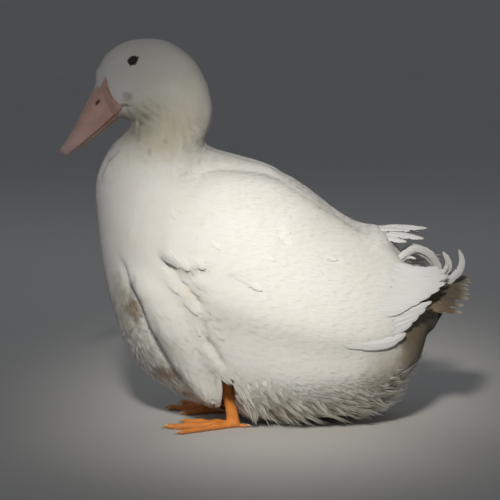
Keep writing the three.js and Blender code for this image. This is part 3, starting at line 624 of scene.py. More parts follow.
def tufts(surface, i, j, length, width, seed, fingers=5, rows=3, depth=5.0, lift=.5, turn=.10, ragged=.35, crown=.12,
          open_=1.0, flat=.75, wild=0.0, direction=None, droop=None, narrow=.45, finger=1.0, gather=None, wave=0.0, keel_=0.0):
    """Tufts rooted at (i, j): each is a spray of narrow pointed blades that runs along the lie of the coat.
    length and width in millimetres; depth is how deep the root lies under the coat's surface, lift how far the end stands above it."""
    r = rng(seed)
    n_t = len(i)
    full = lambda v: np.broadcast_to(np.asarray(v, float), (n_t,)).copy()
    length, width, depth, lift, droop_ = full(length), full(width), full(depth), full(lift), full(0 if droop is None else droop)
    length *= r.uniform(.82, 1.15, n_t)
    width *= r.uniform(.85, 1.2, n_t)
    bend = r.normal(0, 1, n_t) * turn
    # the way of the tuft's middle line over the surface, in M steps
    M = 5
    ci, cj, si, sj, way, off = [i], [j], [], [], [], [np.zeros((n_t, 3))]
    a_i, a_j, over = i.copy(), j.copy(), np.zeros((n_t, 3))
    stuck = np.zeros(n_t, bool)
    for m in range(M + 1):
        p, n = surface.point(a_i, a_j), surface.normal(a_i, a_j)
        d = lie(p, n, bend) if direction is None else direction(p, n, bend)
        side = np.cross(n, d)
        ds = surface.step(a_i, a_j, side)
        si.append(ds[0]), sj.append(ds[1]), way.append(d)
        if m < M:
            di, dj = surface.step(a_i, a_j, d)
            n_i = a_i + di * length / M
            stuck |= (n_i < 2.5) | (n_i > surface.nu - 3.5)
            over = over + np.where(stuck, 1, 0)[:, None] * d * (length / M)[:, None]
            a_i = np.where(stuck, a_i, n_i)
            a_j = np.where(stuck, a_j, a_j + dj * length / M)
            ci.append(a_i), cj.append(a_j), off.append(over)
    ci, cj, si, sj = (np.array(v) for v in (ci, cj, si, sj))
    off = np.array(off)
    way = np.array(way)
    F, K = fingers, rows
    flat_ = full(flat)[:, None]
    b = (np.arange(F) - (F - 1) / 2) / max(1, (F - 1) / 2) if F > 1 else np.zeros(1)
    b = b[None] + r.uniform(-.5, .5, (n_t, F)) * (1.2 / F)
    own_len = 1 - ragged * np.abs(b) ** 1.6 * r.uniform(.5, 1.1, (n_t, F)) - r.uniform(0, .18, (n_t, F))
    half = (1.15 / F) * finger * r.uniform(.8, 1.25, (n_t, F))
    a = np.linspace(0, 1, K + 1) ** .85
    taper = np.interp(a, [0, .5, .8, 1], [.75, 1, .8, 0])
    own = r.random(n_t)
    height_own = r.uniform(0, .25, (n_t, F)) * np.clip(lift / .5, .12, 1)[:, None]
    signs = (-1, 0, 1) if keel_ else (-1, 1)  # keel_ raises each blade's middle line, for round strands
    verts, norms, alongs, uvs = [], [], [], []
    for k in range(K + 1):
        s = a[k] * own_len  # share of the tuft's length, for each blade
        fan = np.interp(s, [0, .45, .8, 1.0], gather or [narrow, 1.0, 1.02, .92]) * open_
        x = s * M
        m0 = np.clip(np.floor(x).astype(int), 0, M - 1)
        f = x - m0
        t_idx = np.broadcast_to(np.arange(n_t)[:, None], (n_t, F))
        get = lambda g: g[m0, t_idx] * (1 - f) + g[np.minimum(m0 + 1, M), t_idx] * f
        get3 = lambda g: g[m0, t_idx] * (1 - f)[..., None] + g[np.minimum(m0 + 1, M), t_idx] * f[..., None]
        c_i, c_j, s_i, s_j = get(ci), get(cj), get(si), get(sj)
        stray, dirs = get3(off), get3(way)
        centre = b * fan * width[:, None] / 2 + wave * np.sin(s * 5 + own[:, None] * 30) * s * width[:, None] / 2
        for sign in (signs if k < K else (0,)):
            lat = centre + sign * half * taper[k] * width[:, None] / 2
            p_i, p_j = c_i + s_i * lat, c_j + s_j * lat
            n = surface.normal(p_i, p_j)
            # from the skin up to the coat's surface, and a little above it at the end
            h = -depth[:, None] * (1 - s) ** 1.3 + (lift[:, None] + height_own) * s ** 1.5 - crown * (lat / 2) ** 2 * .25
            if keel_ and sign == 0 and k < K:
                h = h + keel_ * half * taper[k] * width[:, None] / 2
            if wild:
                h = h + wild * lift[:, None] * s ** 2 * np.sin(own[:, None] * 40 + b * 5)
            p = surface.point(p_i, p_j) + n * h[..., None] + stray
            if droop is not None:
                p[..., 2] -= droop_[:, None] * s ** 2
            verts.append(p)
            tilt = (-.25 * (1 - flat_))[..., None] * dirs + n
            side = np.cross(n, dirs)
            tilt = tilt + side * ((b * .35 + sign * .5) * (1 - flat_))[..., None]
            norms.append(unit(tilt))
            alongs.append(s)
            uvs.append(np.stack([lat / np.maximum(width[:, None], 1e-3), s - .5], -1) * .003)
    V = np.stack(verts, 2)          # tufts, blades, verts of a blade, 3
    per = V.shape[2]
    N = np.stack(norms, 2)
    A = np.stack(alongs, 2)
    U = np.stack(uvs, 2)
    root_uv = np.stack([np.mod(j / surface.nt + .5, 1), i / surface.nu], -1)
    U = U + root_uv[:, None, None]
    start = (np.arange(n_t * F) * per)[:, None]
    C = len(signs)
    quads = np.concatenate([start + np.array([[C * k + c, C * k + c + 1, C * k + C + c + 1, C * k + C + c]]) for k in range(K - 1) for c in range(C - 1)])
    tris = np.concatenate([start + np.array([[C * (K - 1) + c, C * (K - 1) + c + 1, C * K]]) for c in range(C - 1)])
    flat_v, flat_n = V.reshape(-1, 3), N.reshape(-1, 3)
    for faces in (quads, tris):  # each blade faces out
        e1, e2 = flat_v[faces[:, 1]] - flat_v[faces[:, 0]], flat_v[faces[:, 2]] - flat_v[faces[:, 0]]
        wrong = (np.cross(e1, e2) * flat_n[faces[:, 0]]).sum(1) < 0
        faces[wrong] = faces[wrong][:, ::-1]
    return dict(v=V.reshape(-1, 3), n=N.reshape(-1, 3), a=A.reshape(-1), uv=U.reshape(-1, 2), own=np.repeat(own, F * per),
                quads=quads, tris=tris, per_tuft=F * per, tri_count=F * (2 * K - 1) * (C - 1), count=n_t)


def pieces_of(name, t, mat, limit=190000):
    """Turns tufts into objects, each under the triangle limit."""
    per = max(1, limit // t["tri_count"])
    n_pieces = int(math.ceil(t["count"] / per))
    per = int(math.ceil(t["count"] / n_pieces))
    made = []
    for k in range(n_pieces):
        lo, hi = k * per * t["per_tuft"], min((k + 1) * per, t["count"]) * t["per_tuft"]
        q = t["quads"][(t["quads"][:, 0] >= lo) & (t["quads"][:, 0] < hi)] - lo
        tr = t["tris"][(t["tris"][:, 0] >= lo) & (t["tris"][:, 0] < hi)] - lo
        o = mesh_object(f"{name}_{k + 1}" if n_pieces > 1 else name, t["v"][lo:hi], [q, tr], mat, uv=t["uv"][lo:hi],
                        normals=t["n"][lo:hi], attrs={"own": t["own"][lo:hi], "along": t["a"][lo:hi]})
        made.append(ride(o, "plumage"))
    return made


def joined(*ts):
    """Several lots of tufts of the same make as one lot."""
    out = dict(ts[0])
    for key in ("v", "n", "a", "uv", "own"):
        out[key] = np.concatenate([t[key] for t in ts])
    base_ = np.cumsum([0] + [len(t["v"]) for t in ts[:-1]])
    out["quads"] = np.concatenate([t["quads"] + b for t, b in zip(ts, base_)])
    out["tris"] = np.concatenate([t["tris"] + b for t, b in zip(ts, base_)])
    out["count"] = sum(t["count"] for t in ts)
    return out


# ---------------------------------------------------------------- where the coat lies, and how it changes
EYE = np.array([26.5, -110, 382.5])


def face(p):
    """1 at the bill, 0 at the neck's foot."""
    d = np.hypot(p[:, 1] + 135, p[:, 2] - 345)
    return 1 - smooth(d, 25, 150)


def coat_size(p, n):
    """Length of a small feather, in millimetres, by place."""
    head = 1 - smooth(np.hypot(p[:, 1] + 100, p[:, 2] - 362), 45, 105)
    neck = smooth(p[:, 2], 235, 318) * (1 - smooth(p[:, 1], -20, 15))
    size = 23 - 14.0 * neck
    size = size * (1 - head) + head * (6.6 - 2.2 * face(p))
    return np.maximum(size, 4.2)


def loose(p):
    """0 where the plumage lies smooth and close, 1 where it is stringy: low on the belly, under the tail, on the keel."""
    y, z = p[:, 1], p[:, 2]
    low = 1 - smooth(z, 30, 78)
    keel = (1 - smooth(z + .9 * np.maximum(-y - 96, 0), 105, 165)) * (1 - smooth(y, -48, -30)) * (1 - smooth(np.abs(p[:, 0]), 40, 62))
    return np.clip(np.maximum(low, keel), 0, 1)


def coat_depth(p):
    """How far the skin lies under the coat's surface."""
    s = coat_size(p, None)
    return np.interp(s, [4, 8, 14, 23], [.8, .9, 1.0, 1.15]) + 3.6 * loose(p)


# outline of the naked horn at the bill's root, in the side view: its point runs up between eye and culmen
LORE = np.array([[-139, 368.5], [-136.6, 361], [-134.4, 352], [-131.2, 345.2], [-125.5, 338.8], [-119.5, 335.5], [-128.5, 321], [-150, 312], [-170, 330],
                 [-159, 345], [-153, 347.5], [-148.4, 349.5], [-144.2, 356.6], [-141.3, 362]])


def inside(poly, y, z):
    """Which of the points y, z of the side view lie inside a closed outline."""
    ins = np.zeros(len(y), bool)
    k = len(poly)
    for a in range(k):
        (y0, z0), (y1, z1) = poly[a], poly[(a + 1) % k]
        cross = ((z0 > z) != (z1 > z)) & (y < (y1 - y0) * (z - z0) / ((z1 - z0) if z1 != z0 else 1e-9) + y0)
        ins ^= cross
    return ins


def edge_distance(poly, y, z):
    best = np.full(len(y), 1e9)
    for a in range(len(poly)):
        p0, p1 = poly[a], poly[(a + 1) % len(poly)]
        d = p1 - p0
        t = np.clip(((y - p0[0]) * d[0] + (z - p0[1]) * d[1]) / (d @ d), 0, 1)
        best = np.minimum(best, np.hypot(y - p0[0] - t * d[0], z - p0[1] - t * d[1]))
    return best


def bare(p):
    """1 on the bare skin at the bill's root, 0 on feathers."""
    y, z = p[:, 1], p[:, 2]
    d = edge_distance(LORE, y, z) * np.where(inside(LORE, y, z), 1, -1)
    return smooth(d, -.5, .5)


# the opening between the lids, in the side view
EYE_TILT = math.radians(-36)  # the front corner is low
EYE_LONG, EYE_HIGH = 5.9, 3.55


def eye_place(p):
    """Place in the eye's own opening: 1 on its rim."""
    y, z = p[:, 1] - EYE[1], p[:, 2] - EYE[2]
    u = y * math.cos(EYE_TILT) - z * math.sin(EYE_TILT)
    v = y * math.sin(EYE_TILT) + z * math.cos(EYE_TILT)
    return np.sqrt((u / EYE_LONG) ** 2 + (v / EYE_HIGH) ** 2)


POCKET = dict(x=88, y=-14.5, z=2, rx=72, ry=13, rz=71)


def pocket_wall(p):
    """The recess behind the knee that shows the leg: how far out the body may reach there."""
    f = 1 - ((p[..., 1] - POCKET["y"]) / POCKET["ry"]) ** 2 - ((p[..., 2] - POCKET["z"]) / POCKET["rz"]) ** 2
    return np.where(f > 0, POCKET["x"] - POCKET["rx"] * np.sqrt(np.maximum(f, 0)), 1e3)


def in_pocket(p, margin=1.0):
    f = 1 - ((p[..., 1] - POCKET["y"]) / (POCKET["ry"] * margin)) ** 2 - ((p[..., 2] - POCKET["z"]) / (POCKET["rz"] * margin)) ** 2
    wall = np.where(f > 0, POCKET["x"] - POCKET["rx"] * np.sqrt(np.maximum(f, 0)), 1e3)
    return np.abs(p[..., 0]) > wall - 2


# ---------------------------------------------------------------- skin
flat = coat.p.reshape(-1, 3)
depth = coat_depth(flat)
naked = bare(flat)
depth = depth * (1 - naked) + .45 * naked
depth = depth + .85 * hump.reshape(-1)
eye_near = eye_place(flat)
depth = np.where(np.abs(flat[:, 0]) > 10, depth + 4.0 * (1 - smooth(eye_near, .85, 1.45)), depth)
depth = blur(depth.reshape(coat.p.shape[:2]), .6, .6)
skin_p = coat.p - coat.n * depth[..., None]
wall = pocket_wall(skin_p)
hollow = blur((np.abs(skin_p[..., 0]) > wall - 1.5).astype(float), .7, .7)
skin_p[..., 0] = np.sign(skin_p[..., 0]) * np.minimum(np.abs(skin_p[..., 0]), wall)
skin_p[..., 2] = np.maximum(skin_p[..., 2], 3.0)


def skin_material():
    m, nodes, links = material("skin")
    where = add(nodes, "ShaderNodeTexCoord").outputs["Object"]
    wobble = maths(nodes, links, "MULTIPLY_ADD", noise(nodes, links, where, 75, 4, .62), 2.4)
    wobble.node.inputs[2].default_value = -1.0
    down = stains_and_shade_colour(nodes, links, where, mixer(nodes, links, noise(nodes, links, where, 90), (.78, .765, .72), (.74, .72, .67)), wobble)
    pink = mixer(nodes, links, noise(nodes, links, where, 160, 4), (.56, .32, .27), (.62, .40, .34))
    colour = mixer(nodes, links, add(nodes, "ShaderNodeAttribute", attribute_name="bare").outputs["Fac"], down, pink)
    # in the recess behind the knee the skin turns a near-black reddish brown: partly the leg's fleshy colour, partly
    # painted shade of the recess
    flesh_in_painted_shade = mixer(nodes, links, noise(nodes, links, where, 240, 4), (.16, .085, .055), (.07, .04, .028))
    colour = mixer(nodes, links, add(nodes, "ShaderNodeAttribute", attribute_name="hollow").outputs["Fac"], colour, flesh_in_painted_shade)
    bsdf = add(nodes, "ShaderNodeBsdfPrincipled")
    links.new(colour, bsdf.inputs["Base Color"])
    bsdf.inputs["Roughness"].default_value = .62
    bsdf.inputs["Specular IOR Level"].default_value = .3
    bump = add(nodes, "ShaderNodeBump")
    bump.inputs["Strength"].default_value = .4
    bump.inputs["Distance"].default_value = .0005
    links.new(noise(nodes, links, where, 900, 3), bump.inputs["Height"])
    links.new(bump.outputs[0], bsdf.inputs["Normal"])
    out = add(nodes, "ShaderNodeOutputMaterial")
    links.new(bsdf.outputs[0], out.inputs[0])
    return m


nu = coat.nu
sv = np.concatenate([skin_p.reshape(-1, 3), [skin_p[0].mean(0)], [skin_p[-1].mean(0)]])
ii, jj = np.meshgrid(np.arange(nu), np.arange(NT), indexing="ij")
suv = np.stack([np.mod(jj / NT + .5, 1), ii / nu], -1).reshape(-1, 2)
suv = np.concatenate([suv, [[.5, 0], [.5, 1]]])
quads = grid_faces(nu, NT)
ends = np.array([[nu * NT, (j + 1) % NT, j] for j in range(NT)] + [[nu * NT + 1, (nu - 1) * NT + j, (nu - 1) * NT + (j + 1) % NT] for j in range(NT)])
if np.einsum("j,j->", np.cross(skin_p[60, 1] - skin_p[60, 0], skin_p[61, 0] - skin_p[60, 0]), coat.n[60, 0]) < 0:
    quads, ends = quads[:, ::-1], ends[:, ::-1]
skin = ride(mesh_object("skin", sv, [quads, ends], skin_material(), uv=suv, attrs={"bare": np.concatenate([naked, [0, 1]]), "hollow": np.concatenate([hollow.reshape(-1), [0, 0]])}),
            "plumage", "trunk", "neck", "head", "thigh_L", "thigh_R", "wing_L", "wing_R", "tail")


# ---------------------------------------------------------------- the small feathers
def crosses_pocket(p, n, length):
    """Whether a tuft rooted at p would hang over the recess that shows the leg."""
    d = lie(p, n)
    bad = np.zeros(len(p), bool)
    for f in (.4, .7, 1.0):
        q = p + d * (length * f)[:, None]
        g = 1 - ((q[:, 1] - POCKET["y"] + 1) / (POCKET["ry"] * .78)) ** 2 - ((q[:, 2] - POCKET["z"]) / (POCKET["rz"] * .82)) ** 2
        bad |= (g > 0) & (np.abs(q[:, 0]) > 22)
    return bad


def keep_coat(p, n):
    k = (bare(p) < .5) & ~((eye_place(p) < 1.16) & (np.abs(p[:, 0]) > 12)) & ~in_pocket(p)
    k &= ~((p[:, 1] < -140) & (p[:, 2] < 350) & (p[:, 2] > 310))
    return k


SPACING = .152
ci, cj = spread_points(coat, 160000, lambda p, n: SPACING * coat_size(p, n) * (1 + .35 * loose(p)), keep_coat, 11)
cp, cn = coat.point(ci, cj), coat.normal(ci, cj)
size = coat_size(cp, cn)
good = keep_coat(cp, cn) & ~crosses_pocket(cp, cn, size)
ci, cj, cp, cn, size = ci[good], cj[good], cp[good], cn[good], size[good]
small = size < 12
# the drawn-in neck is a little ruffled
ruffles = np.exp(-((cp[:, 1] + 76) / 42) ** 4 - ((cp[:, 2] - 308) / 34) ** 4)
ruffle, ruffle_big = ruffles[small], ruffles[~small]
t_small = tufts(coat, ci[small], cj[small], size[small], size[small] * .46, 21, fingers=4, rows=2, depth=coat_depth(cp[small]) * .75,
                lift=.05 + .008 * size[small] + 1.1 * ruffle, turn=.12 + .22 * ruffle, ragged=.3, flat=.86 - .4 * ruffle, finger=1.1)
free = loose(cp[~small])
t_big = tufts(coat, ci[~small], cj[~small], size[~small], size[~small] * .32, 22, fingers=5, rows=3,
              depth=coat_depth(cp[~small]) * (.62 - .1 * free), lift=.06 + .9 * free + 1.3 * ruffle_big, turn=.08 + .30 * ruffle_big, ragged=.4, flat=.97 - .4 * ruffle_big, finger=1.5 - .5 * ruffle_big[:, None])
pieces_of("coat_head", t_small, HEAD_COAT)
pieces_of("coat_body", t_big, COAT)


# ---------------------------------------------------------------- stringy plumes of belly and flank, clotted plumes of the keel
def zone_points(count, radius, keep, seed):
    i, j = spread_points(coat, count, lambda p, n: np.full(len(p), radius), lambda p, n: keep(p, n) & ~in_pocket(p), seed)
    p, n = coat.point(i, j), coat.normal(i, j)
    ok = keep(p, n) & ~in_pocket(p)
    return i[ok], j[ok], p[ok], n[ok]


def belly(p, n):
    y, z = p[:, 1], p[:, 2]
    return (y > -6) & (z < 66 + .10 * np.maximum(y - 90, 0) + np.where(y < 60, 26 * (1 - smooth(y, 0, 60)), 0)) & (z > 0)


r_ = rng(33)


def hang(p, n, bend):
    """The belly's strands point back and down, more steeply in front."""
    a_ = np.radians(-71 + 49 * smooth(p[..., 1], -5, 165)) + bend
    d = np.stack([0 * a_, np.cos(a_), np.sin(a_)], -1)
    return unit(d - (d * n).sum(-1, keepdims=True) * n)


def belly_lot(count, radius, base_len, width, seed, lift_, droop_, strand):
    i, j, p, n = zone_points(count, radius, belly, seed)
    low_ = 1 - smooth(p[:, 2] - .13 * np.maximum(p[:, 1] - 60, 0) - 26 * (1 - smooth(p[:, 1], 0, 55)), 12, 64)
    ln = (base_len + 12 * low_) * r_.uniform(.75, 1.25, len(p))
    ok = ~crosses_pocket(p, n, ln) & ((low_ > .12) | (r_.random(len(p)) < (.65 if not strand else .3)))
    i, j, p, n, ln, low_ = i[ok], j[ok], p[ok], n[ok], ln[ok], low_[ok]
    free_ = np.where(r_.random(len(p)) < .45, 1.0, .3)
    width = width * (.6 + .4 * low_) * r_.uniform(.7, 1.3, len(p))
    if strand:
        t = tufts(coat, i, j, ln, width, seed + 1, fingers=5, rows=6, depth=2.5, lift=.5 + lift_ * low_ * free_, turn=.26, ragged=.30, flat=.30,
                  wild=.25, droop=droop_ * low_ * free_, gather=[.85, 1.0, .58, .16], finger=.72, wave=.32, keel_=.7, direction=hang)
    else:
        t = tufts(coat, i, j, ln, width, seed + 1, fingers=5, rows=4, depth=3.0, lift=.5 + lift_ * low_, turn=.16, ragged=.35, flat=.7,
                  gather=[.9, 1.0, .9, .6], finger=1.15, wave=.2, direction=hang)
    t["v"][:, 2] = np.maximum(t["v"][:, 2], .4)
    return t


t_belly = belly_lot(12000, 5.4, 19, 7.5, 31, 1.2, .0, False)
t_locks = belly_lot(7000, 6.8, 26, 8.2, 35, 7.5, 7.0, True)


def keel(p, n):
    y, z = p[:, 1], p[:, 2]
    return (y < -44) & (z < 152 - .9 * np.maximum(-y - 96, 0)) & ~inside(PANEL, y, z) & (z > 18)


PANEL = np.array([[-123, 186], [-118, 166], [-106, 143], [-92, 111], [-80, 89], [-67, 67], [-50.5, 44], [-36, 27], [-26, 18], [-18, 30], [-17, 47], [-19, 69], [-27, 91], [-33, 113], [-38, 145], [-46, 171], [-60, 190]])
ki, kj, kp, kn = zone_points(14000, 4.6, keel, 41)
t_keel = tufts(coat, ki, kj, 22, 8.5, 42, fingers=5, rows=4, depth=3.5, lift=2.0, turn=.30, ragged=.40, flat=.4, wild=.7, gather=[.7, 1.0, .55, .16], finger=.9, wave=.35, keel_=.5)


def panel_zone(p, n):
    return inside(PANEL, p[:, 1], p[:, 2]) & (np.abs(p[:, 0]) > 34)


pi_, pj_, pp, pn = zone_points(9000, 5.6, panel_zone, 51)
lp = 30.0 - 8 * (1 - smooth(pp[:, 2], 30, 80))
ok = ~crosses_pocket(pp, pn, lp)
pi_, pj_, pp, pn, lp = pi_[ok], pj_[ok], pp[ok], pn[ok], lp[ok]
t_panel = tufts(coat, pi_, pj_, lp, 7.0, 52, fingers=6, rows=4, depth=1.4, lift=.6, turn=.06, ragged=.45, flat=.9, narrow=.5, finger=1.35)
pieces_of("plumes_belly", t_belly, PLUME)
pieces_of("plumes_belly_locks", t_locks, LOCK)
pieces_of("plumes_keel", t_keel, PLUME)
pieces_of("plumes_thigh", t_panel, COAT)


# ---------------------------------------------------------------- whole vanes: wings, tail, curls
def spline_path(pts, n):
    """n + 1 points evenly along a smooth line through pts."""
    pts = np.asarray(pts, float)
    t = np.linspace(0, len(pts) - 1, 200)
    p = table_at(pts, t)
    s = np.concatenate([[0], np.cumsum(np.linalg.norm(np.diff(p, axis=0), axis=1))])
    want = np.linspace(0, s[-1], n + 1)
    return np.stack([np.interp(want, s, p[:, k]) for k in range(p.shape[1])], -1)


def vane(path, up, width, seed, thick=.7, camber=.10, tip=.30, root=.2, point_=.0, skew=.0, across=12, nicks=5, droop_edge=0.0, ridge=.45, fray=.06):
    """One feather as a thin closed solid: path from root to tip, up the way its upper side faces along it. Its two webs rise to the shaft
    and end in a rim of barbs with a few splits."""
    r = rng(seed)
    n = len(path) - 1
    s = np.linspace(0, 1, n + 1)
    t = unit(np.gradient(path, axis=0))
    up = unit(up - (up * t).sum(1, keepdims=True) * t)
    side = np.cross(up, t)
    w = np.clip(s / root, 0.02, 1) ** .6 * np.sqrt(np.clip(1 - np.clip((s - (1 - tip)) / tip, 0, 1) ** (2 - point_), 0, 1))
    w = np.maximum(w, .03) * width / 2
    b = np.linspace(-1, 1, across + 1)
    # splits and unevenness of the two rims
    edge = np.ones((2, n + 1))
    for e in range(2):
        edge[e] += fray * np.interp(s, np.linspace(0, 1, 30), r.uniform(-1, 1, 30))
        for _ in range(nicks):
            c = r.uniform(.35, .97)
            edge[e] -= r.uniform(.12, .45) * np.clip(1 - np.abs(s - c) / .018, 0, 1)
    k = np.where(b < 0, 1, 0)
    lat = b[None] * w[:, None] * np.where(b[None] < 0, edge[0][:, None] * (1 - skew), edge[1][:, None] * (1 + skew))
    # barbs slant toward the tip, so the rim runs ahead of the shaft
    ahead = (np.abs(b)[None] ** 1.3) * w[:, None] * .55 * (1 - s[:, None] ** 3)
    rise_ = -camber * (lat ** 2) / max(width / 2, 1e-6) - droop_edge * np.abs(b)[None] ** 2
    wave = .05 * width * .1 * np.sin(b[None] * 9 + s[:, None] * 14 + r.uniform(0, 6))
    shaft = ridge * np.exp(-(b / .09) ** 2)[None] * (1 - .7 * s[:, None])
    half = thick / 2 * (1 - .65 * np.abs(b)[None] ** 2) * (1 - .5 * s[:, None]) + .04
    mid = path[:, None] + side[:, None] * lat[..., None] + up[:, None] * (rise_ + wave)[..., None] + t[:, None] * ahead[..., None]
    top = mid + up[:, None] * (half + shaft)[..., None]
    bot = mid - up[:, None] * half[..., None]
    N = (n + 1) * (across + 1)
    V = np.concatenate([top.reshape(-1, 3), bot.reshape(-1, 3)])
    q = grid_faces(n + 1, across + 1, closed=False)
    if np.cross(V[q[0, 1]] - V[q[0, 0]], V[q[0, 3]] - V[q[0, 0]]) @ up[0] < 0:
        q = q[:, ::-1]
        flip = True
    else:
        flip = False
    c1 = across + 1
    rim = [i * c1 for i in range(n + 1)] + [n * c1 + j for j in range(1, across + 1)] + [i * c1 + across for i in range(n - 1, -1, -1)] + [j for j in range(across - 1, 0, -1)]
    rq = np.array([[rim[k_], rim[(k_ + 1) % len(rim)], rim[(k_ + 1) % len(rim)] + N, rim[k_] + N] for k_ in range(len(rim))])
    a, b_ = V[rq[:, 1]] - V[rq[:, 0]], V[rq[:, 3]] - V[rq[:, 0]]
    outw = V[rq[:, 0]] - np.repeat(path, 1, 0)[np.clip(rq[:, 0] // c1, 0, n)]
    vote = (np.cross(a, b_) * outw).sum()
    if vote < 0:
        rq = rq[:, ::-1]
    F = np.concatenate([q, q[:, ::-1] + N, rq])
    al = np.repeat(s, c1)
    barb = (s[:, None] * 1.0 * (np.linalg.norm(path[-1] - path[0]) / 100) - np.abs(lat) * .006).reshape(-1)
    uvl = np.stack([np.tile(b, n + 1) * .5, al - .5], -1) * .003
    return dict(v=V, f=F, along=np.concatenate([al, al]), barb=np.concatenate([barb, barb]), uvl=np.concatenate([uvl, uvl]), own=r.random())


def vanes_object(name, vs, mat, uv_at, *nodes, slot="plumage", mirror_x=False):
    V, F, A, B, O, U, base_ = [], [], [], [], [], [], 0
    for k, d in enumerate(vs):
        v, f = d["v"], d["f"]
        if mirror_x:
            v, f = v * [-1, 1, 1], f[:, ::-1]
        V.append(v), F.append(f + base_), A.append(d["along"]), B.append(d["barb"]), O.append(np.full(len(v), d["own"]))
        U.append(np.array(uv_at(k)) + d["uvl"])
        base_ += len(v)
    o = mesh_object(name, np.concatenate(V), np.concatenate(F), mat, uv=np.concatenate(U),
                    attrs={"along": np.concatenate(A), "barb": np.concatenate(B), "own": np.concatenate(O)})
    o.data.shade_smooth()
    return ride(o, slot)


# The wing's own outer form, carried on past the trunk's end
hull_t = stations(WING_HULL, 2.5)
hull = Surface(np.array([section(row, TH, row[7]) for row in table_at(WING_HULL, hull_t)]))
hp, hn = hull.p.reshape(-1, 3), hull.n.reshape(-1, 3)
sel = (hp[:, 0] > 12) & (hn[:, 0] > .05)
hp, hn = hp[sel], hn[sel]
hull_tree = KDTree(len(hp))
for k, q in enumerate(hp):
    hull_tree.insert((q[1], q[2], 0), k)
hull_tree.balance()


def on_hull(y, z, off=0.0):
    got = hull_tree.find_n((y, z, 0), 8)
    w = np.array([1 / (g[2] ** 2 + .6) for g in got])
    w /= w.sum()
    idx = [g[1] for g in got]
    x, n = (w * hp[idx, 0]).sum(), unit((w[:, None] * hn[idx]).sum(0))
    return np.array([x, y, z]) + n * off, n


def hull_vane(way, width, off0, off1, seed, n=34, turn_up=0.0, **kw):
    """A wing feather laid over the hull along side-view points [y, z]; off0 and off1 set it in or out at root and tip."""
    line = spline_path(way, n)
    pts, ups = [], []
    for k, (y, z) in enumerate(line):
        f = k / n
        p, nn = on_hull(y, z, off0 + (off1 - off0) * f ** 1.2)
        pts.append(p), ups.append(nn)
    pts, ups = np.array(pts), np.array(ups)
    for _ in range(3):
        pts[1:-1] = (pts[:-2] + 2 * pts[1:-1] + pts[2:]) / 4
        ups[1:-1] = unit((ups[:-2] + 2 * ups[1:-1] + ups[2:]) / 4)
    return vane(pts, ups, width, seed, **kw)


PRIMARIES = [
    # side-view way [y, z] root to tip; width; set-out at root and at tip
    ([[94, 108], [116, 103.2], [140, 100.6], [157, 102.2], [169.5, 109.6]], 13.0, -4.4, .2),
    ([[92, 117], [119, 109.5], [150, 109.2], [176.5, 118.6]], 12, -5.2, -.7),
    ([[96, 122], [124, 115.5], [156, 116.0], [182.8, 125.0]], 12, -4.9, .0),
    ([[100, 127], [130, 121.5], [162, 122.4], [190.2, 132.0]], 12, -4.6, .7),
    ([[104, 132], [135, 127.5], [168, 129.4], [196.2, 139.2]], 12, -4.2, 1.4),
]
TERTIALS = [
    ([[122, 171], [142, 165.5], [160, 160.5], [188, 156]], 17, -3.6, 1.4),
    ([[108, 142], [132, 135.5], [152, 132.5], [172, 134]], 13, -3.8, 2.2),
    ([[104, 150], [130, 141.5], [156, 137], [184, 139.6]], 14, -3.6, 2.6),
    ([[106, 157], [134.4, 147.5], [164, 142], [195, 145.2]], 14, -3.4, 3.0),
    ([[110, 164], [140.5, 154], [173.7, 147.6], [204, 150.2]], 14, -3.2, 3.3),
    ([[114, 171], [147.7, 160], [181, 152.6], [210, 155.2]], 14, -3.0, 3.6),
    ([[119, 177], [153, 166.4], [186, 158.6], [213, 161.2]], 13.5, -3.0, 3.8),
    ([[124, 183], [158.3, 172.4], [188, 164.6], [213, 166.4]], 13, -3.0, 3.8),
    ([[129, 188], [156, 177.5], [182, 168.6], [205, 168.6]], 12, -3.0, 3.4),
]
wing_vanes = []
for k, (way, width, o0, o1) in enumerate(PRIMARIES):
    wing_vanes.append(hull_vane(way, width, o0, o1, 300 + k, thick=.8, tip=.40, point_=.65, skew=-.10, camber=.16, nicks=4, fray=.03))
for k, (way, width, o0, o1) in enumerate(TERTIALS):
    wing_vanes.append(hull_vane(way, width, o0, o1, 330 + k, thick=.7, tip=.42, point_=.7, camber=.10, nicks=6, fray=.03))
for tag, m_ in (("L", False), ("R", True)):
    vanes_object("wing_feathers_" + tag, wing_vanes, VANE, lambda k, m_=m_: (.5 + (-1 if m_ else 1) * (.12 + .012 * k), .12 + .004 * k), mirror_x=m_)


# ---------------------------------------------------------------- tail
TAIL = dict(rootY=148, rootZ=178, tipY=243, tipZ=151, rootHalf=38, tipHalf=59, rim=9, droop=30)


def tail_point(f, c, off=0.0, reach=1.0):
    """A point of the fan's upper side: f from root to tip, c from -1 to 1 across."""
    half = TAIL["rootHalf"] + (TAIL["tipHalf"] - TAIL["rootHalf"]) * np.sin(np.clip(f, 0, 1.2) * np.pi / 2)
    rim = -TAIL["rim"] * f * c * c - 11 * f * np.abs(c) ** 8
    y = TAIL["rootY"] + (TAIL["tipY"] - TAIL["rootY"]) * f + rim
    z = TAIL["rootZ"] + (TAIL["tipZ"] - TAIL["rootZ"]) * np.clip(f, 0, 2) ** .8 - TAIL["droop"] * c * c
    return np.stack([c * half, y, z + off], -1)


